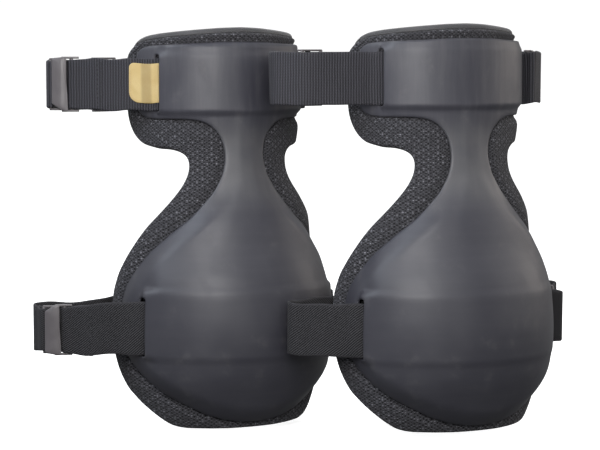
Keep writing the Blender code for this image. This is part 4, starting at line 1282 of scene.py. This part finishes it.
def build_strap(pad, which, mats, hard):
    lay = LAYOUT[(pad, which)]
    side = OUTER_SIDE[pad]
    zc = STRAP_Z[(pad, which)]
    mat = mats["webbing"] if which == "upper" else mats["elastic"]
    name = f"{pad}_{which}"
    at = PAD_ORIGIN[pad]

    angles, run, run_n = under_shell(SLOT[(pad, which)], zc, side)
    centre = run.mean(1)[:, :2]
    exit_hook, exit_rear = centre[0], centre[-1]

    def edge_way(station, last):
        """Heading in plan at a slot, as the CAD model's straps leave it."""
        d = station - last
        return d / np.linalg.norm(d)

    way_hook = edge_way(exit_hook, centre[2])
    way_rear = edge_way(exit_rear, centre[-3])
    joint = exit_hook + way_hook * 3.0
    bar_at = plan(lay["bar"])
    heading = math.radians(lay["heading"])
    t = plan((math.cos(heading), math.sin(heading)))
    angle = math.atan2(t[1], t[0])
    sewn_tab, sewn_rear = lay["sewn"]
    turn_side = 1 if pad == "left" else -1
    seed = {"left": 3, "right": 11}[pad] + (5 if which == "lower" else 0)
    drop, squeeze = lay.get("drop", 0.0), lay.get("squeeze", 1.0)  # how far the closure hangs down, and its height
    inner = 6  # stations of the run that belong to the tab's end in the slot

    def eased(grid, normals, run_end, end_n, end_at, reach):
        """Turns the first stations of an upright stretch from the shell's slope at the slot to upright."""
        upright_end = np.stack([0 * SECTION[:, 0], 0 * SECTION[:, 0], SECTION[:, 0] * STRAP_W / 2], -1)
        shift = run_end - np.array([*end_at, zc]) - upright_end
        s = length_along(grid.mean(1))
        for k in range(1, len(s)):
            w = float(smooth(1 - s[k] / reach))
            if w <= 0:
                break
            grid[k] += shift * w
            normals[k] = normals[k] * (1 - w) + end_n * w

    # tab: out of the slot to its sewn eye on the hook's bar
    corners = [exit_hook, exit_hook + way_hook * 6.0] + [plan(q) for q in lay["tab"]]
    d = (bar_at - corners[-1]) / np.linalg.norm(bar_at - corners[-1])
    pts = eye(bar_at, d, turn_side, BAR_R, sewn_tab)
    lead = fillet(corners + pts[:2], [8] + lay["tab_r"] + [12])
    outer = lead[:-1] + pts[1:]
    hang = length_along(outer)
    hang = zc - drop * smooth((hang - 8.0) / (length_along(lead)[-1] - 10.0))
    mid, nrm = upright_band(outer, hang, -side)
    eased(mid, nrm, run[0], run_n[0], exit_hook, 14.0)
    mid = np.concatenate([run[inner:0:-1], run[:1], mid[1:]])
    nrm = np.concatenate([run_n[inner:0:-1], run_n[:1], nrm[1:]])
    # gathered a little where it passes through the hook
    along = length_along(mid.mean(1))
    loop_s = float(along[inner] + length_along(lead)[-1] + 8.5 + (BAR_R + 0.35 + STRAP_T / 2) * math.pi / 2)
    narrow = 1 - (0.058 + 1 - squeeze) * np.exp(-(((along - loop_s) / 15.0) ** 2))
    centre_z = mid[:, :, 2].mean(1, keepdims=True)
    mid[:, :, 2] = centre_z + (mid[:, :, 2] - centre_z) * narrow[:, None]
    band = Band(mid, nrm)
    slot_s = float(band.s[inner])
    sewn_at = slot_s + length_along(lead)[-1] - (sewn_tab + 2.0 - 8.5)
    band.wave(seed, 0.75 if which == "upper" else 0.45, 12.0, [(loop_s, 14.0)])
    joint_tab = name + "_tab"
    webbing = piece(f"{name}_tab_webbing", band.mesh(joint_tab), mat, None, at, 0, [joint_tab])
    start = at + np.array([*(exit_hook - way_hook * 1.0), zc])
    end = at + np.array([*(joint + way_hook * 4.5), zc])
    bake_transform(webbing)
    if which == "upper":
        lines = [[(s, -17.2), (s, 17.2)] for s in (sewn_at + 2.6, sewn_at + 5.4)]
    else:
        lines = [[(sewn_at + 2.2 + (1.1 if k % 2 else -1.1), -17.0 + k * 34 / 26) for k in range(27)]]
    v, f = stitches(band, lines, STRAP_T / 2 + 0.02)
    piece(f"{name}_tab_stitching", mesh_from(f"{joint_tab}_stitching", v, f), mats["thread"], joint_tab, at, 0, None)
    made = {"tab": band, "slot_s": slot_s, "start": start, "end": end, "zc": zc}

    # strap: under the shell, out of the other slot and round to its sewn eye on the ring
    ring_at = bar_at + t * HOOK_REACH
    far = ring_at + t * RING_SP
    corners = [exit_rear, exit_rear + way_rear * 4.0] + [plan(q) for q in lay["rear"]]
    d = (far - corners[-1]) / np.linalg.norm(far - corners[-1])
    pts = eye(far, d, -turn_side, RING_HALF * 1.42, sewn_rear)
    lead = fillet(corners + pts[:2], [8] + lay["rear_r"] + [12])
    rear = lead[:-1] + pts[1:]
    back_s = length_along(rear)
    heights = sagged(rear, zc, lay["sag"]) - drop * smooth((back_s - back_s[-1] + 130.0) / 55.0)
    mid_r, nrm_r = upright_band(rear, heights, side)
    eased(mid_r, nrm_r, run[-1], run_n[-1], exit_rear, 14.0)
    # its end under the shell meets the tab's
    mid = np.concatenate([run[inner:], mid_r[1:]])
    nrm = np.concatenate([run_n[inner:], nrm_r[1:]])
    first = run[inner] - run[inner + 1]
    mid[0] -= first / np.linalg.norm(first, axis=1, keepdims=True) * 0.25
    band = Band(mid, nrm)
    loop_s = float(band.s[len(run) - inner - 1]) + length_along(lead)[-1] + 8.5 + (RING_HALF * 1.42 + 0.35 + STRAP_T / 2) * math.pi / 2
    a, b = plan(lay["rear"][lay["slider"]]), plan(lay["rear"][lay["slider"] + 1])
    w = (b - a) / np.linalg.norm(b - a)
    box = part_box(f"{name}_slider")
    place = (np.array(box[0]) + np.array(box[1])) / 2 / MM + [0, 0, lay.get("lift", 0.0)]
    on = np.array(place[:2]) - at[:2]
    on = a + w * ((on - a) @ w)
    slider_s = float(band.s[np.argmin(np.linalg.norm(band.mid.mean(1)[:, :2] - on, axis=1))])
    waved = Band(mid, nrm).wave(seed + 2, 0.4, 30.0, [(loop_s, 12.0), (slider_s, 26.0)])
    band.mid[len(run) - inner + 6 :] = waved.mid[len(run) - inner + 6 :]
    # gathered in the ring
    near = np.exp(-(((band.s - loop_s) / (11.0 if squeeze == 1.0 else 24.0)) ** 2))[:, None]
    centre_z = band.mid[:, :, 2].mean(1, keepdims=True)
    band.mid[:, :, 2] = centre_z + (band.mid[:, :, 2] - centre_z) * (1 - (0.105 + 1 - squeeze) * near)
    piece(f"{name}_strap_webbing", band.mesh(f"{name}_strap"), mat, "pads", at, 0, [f"{name}_strap"])
    sewn_s = float(band.s[len(run) - inner - 1]) + length_along(lead)[-1] - (sewn_rear + 2.0 - 8.5)
    if which == "upper":
        lines = [[(sewn_s + a, -17.2), (sewn_s + a, 17.2)] for a in (2.4, 5.0)]
    else:
        lines = [[(sewn_s + 2.2 + (1.1 if k % 2 else -1.1), -17.0 + k * 34 / 26) for k in range(27)]]
    v, f = stitches(band, lines, STRAP_T / 2 + 0.02)
    piece(f"{name}_strap_stitching", mesh_from(f"{name}_strap_stitching", v, f), mats["thread"], "pads", at, 0, None)

    key = "hook_b" if pad == "right" else "hook_a"
    if which == "lower" and pad == "left":
        key = "hook_c"
    plastic = mats["plastic"]
    ring = "ring" if squeeze == 1.0 else "ring_c"
    low = zc - drop
    piece(f"{name}_hook_body", hard[key], plastic, f"{name}_hook", at + [*bar_at, low], angle, [f"{name}_hook"])
    piece(f"{name}_ring_body", hard[ring], plastic, f"{name}_ring", at + [*far, low], angle, [f"{name}_ring"])
    turn = math.atan2(w[1], w[0])
    if np.array([-w[1], w[0]]) @ on < 0:
        turn += math.pi
    piece(
        f"{name}_slider_body", hard["slider"], plastic, f"{name}_slider", [*(at[:2] + on), place[2]], turn,
        [f"{name}_slider"],
    )
    return made


def build_label(tab, mats):
    """Folded woven label over the outside of the left pad's upper tab: it comes out of the slot with the webbing."""
    band, zc = tab["tab"], tab["zc"]
    lo, hi = -13.4, 15.4
    begin = tab["slot_s"] - 7.4
    end = tab["slot_s"] + 16.0

    def corner(x, r):
        """How far a corner of radius r is cut back at x from the free end."""
        t = np.clip(1 - x / r, 0, 1)
        return r * (1 - np.sqrt(np.maximum(0, 1 - t**2)))

    st = np.concatenate([np.linspace(begin, end - 7.6, 22), end - 7.6 * (1 - np.sin(np.linspace(0, math.pi / 2, 16)[1:]))])
    low = lo + corner(end - st, 7.4)
    high = hi - corner(end - st, 3.4)
    k = len(SECTION)
    mid, nrm = np.zeros((len(st), k, 3)), np.zeros((len(st), k, 3))
    bow = 0.35 * np.sin(np.clip((st - begin) / (end - begin), 0, 1) * math.pi)
    crease = -0.22 * np.exp(-(((st - tab["slot_s"] - 1.5) / 1.3) ** 2))
    for i, s in enumerate(st):
        w = (low[i] + high[i]) / 2 + SECTION[:, 0] * (high[i] - low[i]) / 2
        p, n = band.at(np.full(k, s), w, STRAP_T / 2 + 0.62)
        mid[i], nrm[i] = p + n * (bow[i] + crease[i]), n
    label = Band(mid, nrm)
    label.half = (hi - lo) / 2
    at = PAD_ORIGIN["left"]
    ob = piece("left_label_fabric", label.mesh("size_label", 0.28), mats["label"], None, at, 0, ["left_size_label"])
    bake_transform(ob)
    n = label.s[-1]
    lines = [[(n - 1.5, -9.0), (n - 1.5, 10.0)]]
    verts, faces = stitches(label, lines, 0.30, 1.6, 0.7, 0.16)
    piece("left_label_stitching", mesh_from("label_stitching", verts, faces), mats["label_thread"], "left_upper_tab", at, 0, None)


def build():
    mats = {
        "shell": rubber_material(),
        "mesh": mesh_material(),
        "lining": lining_material(),
        "foam": foam_material(),
        "webbing": webbing_material(),
        "elastic": elastic_material(),
        "plastic": plastic_material(),
        "label": label_material(),
        "thread": thread_material(),
    }
    gold = Nodes("label_thread")
    mats["label_thread"] = gold.finish(
        gold.mix(gold.noise(gold.place(), 2500.0), (0.30, 0.22, 0.08), (0.55, 0.43, 0.20)), 0.6
    )
    hard = {
        "hook_a": hook_mesh(1, 0.8, 5.6),
        "hook_b": hook_mesh(-1, 0.8, 5.6),
        "hook_c": hook_mesh(1, 5.0, 1.6, LAYOUT[("left", "lower")]["squeeze"]),
        "ring": ring_mesh(),
        "ring_c": ring_mesh(LAYOUT[("left", "lower")]["squeeze"]),
        "slider": slider_mesh(),
    }
    layers = build_pad_pieces(mats)
    for pad in PAD_AT:
        at = PAD_ORIGIN[pad]
        piece(f"{pad}_shell_moulding", layers[f"{pad}_outer_shell"], mats["shell"], "pads", at, 0, [f"{pad}_outer_shell"])
        piece(f"{pad}_liner_mesh", layers["foam_liner"], mats["mesh"], "pads", at, 0, [f"{pad}_foam_liner"])
        piece(f"{pad}_lining_fabric", layers["inner_lining"], mats["lining"], "pads", at, 0, [f"{pad}_inner_lining"])
        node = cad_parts[f"{pad}_impact_foam"]
        node = bpy.data.objects[node] if isinstance(node, str) else node
        node.data.materials.clear()
        node.data.materials.append(mats["foam"])
        made = {}
        for which in ("upper", "lower"):
            made[which] = build_strap(pad, which, mats, hard)
        if pad == "left":
            build_label(made["upper"], mats)


# ------------------------------------------------------------------ studio


def lamp(name, kind, energy, at, aim, size, color=(1, 1, 1), size_y=None):
    data = bpy.data.lights.new(name, kind)
    data.energy = energy
    data.color = color
    if kind == "AREA":
        data.shape = "RECTANGLE"
        data.size = size
        data.size_y = size_y or size
    ob = bpy.data.objects.new(name, data)
    bpy.context.scene.collection.objects.link(ob)
    ob.location = at
    ob.rotation_euler = (Vector(aim) - Vector(at)).to_track_quat("-Z", "Y").to_euler()
    ob.visible_camera = False
    return ob


def studio():
    az, el = math.radians(-28.6), math.radians(4.5)
    back = Vector((math.sin(az) * math.cos(el), -math.cos(az) * math.cos(el), math.sin(el)))
    right = Vector((math.cos(az), math.sin(az), 0))
    up = Vector((0, 0, 1))
    target = Vector((0, 0, 0.076))
    data = bpy.data.cameras.new("camera")
    data.sensor_width = 36.0
    data.lens = 2247.0 / 600 * 36.0
    cam = bpy.data.objects.new("camera", data)
    bpy.context.scene.collection.objects.link(cam)
    cam.location = target + back * 1.70
    cam.rotation_euler = back.to_track_quat("Z", "Y").to_euler()
    bpy.context.scene.camera = cam

    # soft light from all round, stronger from above; the backdrop itself is white
    world = bpy.data.worlds.new("studio")
    world.use_nodes = True
    tree = world.node_tree
    bg = tree.nodes["Background"]
    bg.inputs[0].default_value = (0.98, 0.99, 1.0, 1)
    coord = tree.nodes.new("ShaderNodeTexCoord")
    split = tree.nodes.new("ShaderNodeSeparateXYZ")
    level = tree.nodes.new("ShaderNodeMapRange")
    level.interpolation_type = "SMOOTHSTEP"
    for k, value in ((1, -0.7), (2, 0.9), (3, WORLD_LOW), (4, WORLD_HIGH)):
        level.inputs[k].default_value = value
    tree.links.new(coord.outputs["Generated"], split.inputs[0])
    tree.links.new(split.outputs[2], level.inputs[0])
    tree.links.new(level.outputs[0], bg.inputs[1])
    white = tree.nodes.new("ShaderNodeBackground")
    white.inputs[0].default_value = (1, 1, 1, 1)
    white.inputs[1].default_value = 1.05
    path = tree.nodes.new("ShaderNodeLightPath")
    pick = tree.nodes.new("ShaderNodeMixShader")
    tree.links.new(path.outputs["Is Camera Ray"], pick.inputs[0])
    tree.links.new(bg.outputs[0], pick.inputs[1])
    tree.links.new(white.outputs[0], pick.inputs[2])
    tree.links.new(pick.outputs[0], tree.nodes["World Output"].inputs[0])
    bpy.context.scene.world = world
    bpy.context.scene.view_settings.view_transform = "Standard"

    bm = bmesh.new()
    bmesh.ops.create_circle(bm, cap_ends=True, segments=96, radius=14.0)
    me = bpy.data.meshes.new("floor")
    bm.to_mesh(me)
    bm.free()
    floor = bpy.data.objects.new("floor", me)
    floor.location = (0, 0, CAD_BOX[0][2] - 0.0035)
    floor.visible_diffuse = floor.visible_glossy = False
    m = Nodes("pale_floor")
    m.finish(m.mix(m.noise(m.place(), 2.0), (0.86, 0.86, 0.86), (0.90, 0.90, 0.90)), 0.8, specular=0.1)
    m.b.inputs["Emission Color"].default_value = (1, 1, 1, 1)
    m.b.inputs["Emission Strength"].default_value = 0.74
    me.materials.append(m.m)
    bpy.context.scene.collection.objects.link(floor)

    c = Vector((0, 0, 0.08))
    lamp("key", "AREA", 7.2, c + back * 0.44 - right * 0.84 + up * 0.78, c + up * 0.05, 0.75, (0.82, 0.90, 1.0))
    lamp("front", "AREA", 2.5, c + back * 0.58 - right * 0.05 + up * 0.17, c + up * 0.12, 0.34, (1.0, 0.985, 0.975))
    lamp("strip", "AREA", 1.1, c + back * 0.98 + right * 0.50 + up * 0.18, c + up * 0.04, 0.18, (1.0, 0.985, 0.97), 1.0)
    lamp("side", "AREA", 1.3, c + back * 0.10 + right * 1.1 + up * 0.30, c, 0.6, (1.0, 0.95, 0.91))
    lamp("back", "AREA", 7.0, c - back * 0.9 - right * 0.25 + up * 0.95, c, 0.9, (0.96, 0.98, 1.0))
    lamp("rim", "AREA", 1.7, c - back * 0.45 + right * 1.1 + up * 0.30, c, 0.5, (1.0, 0.90, 0.82))


build()
studio()
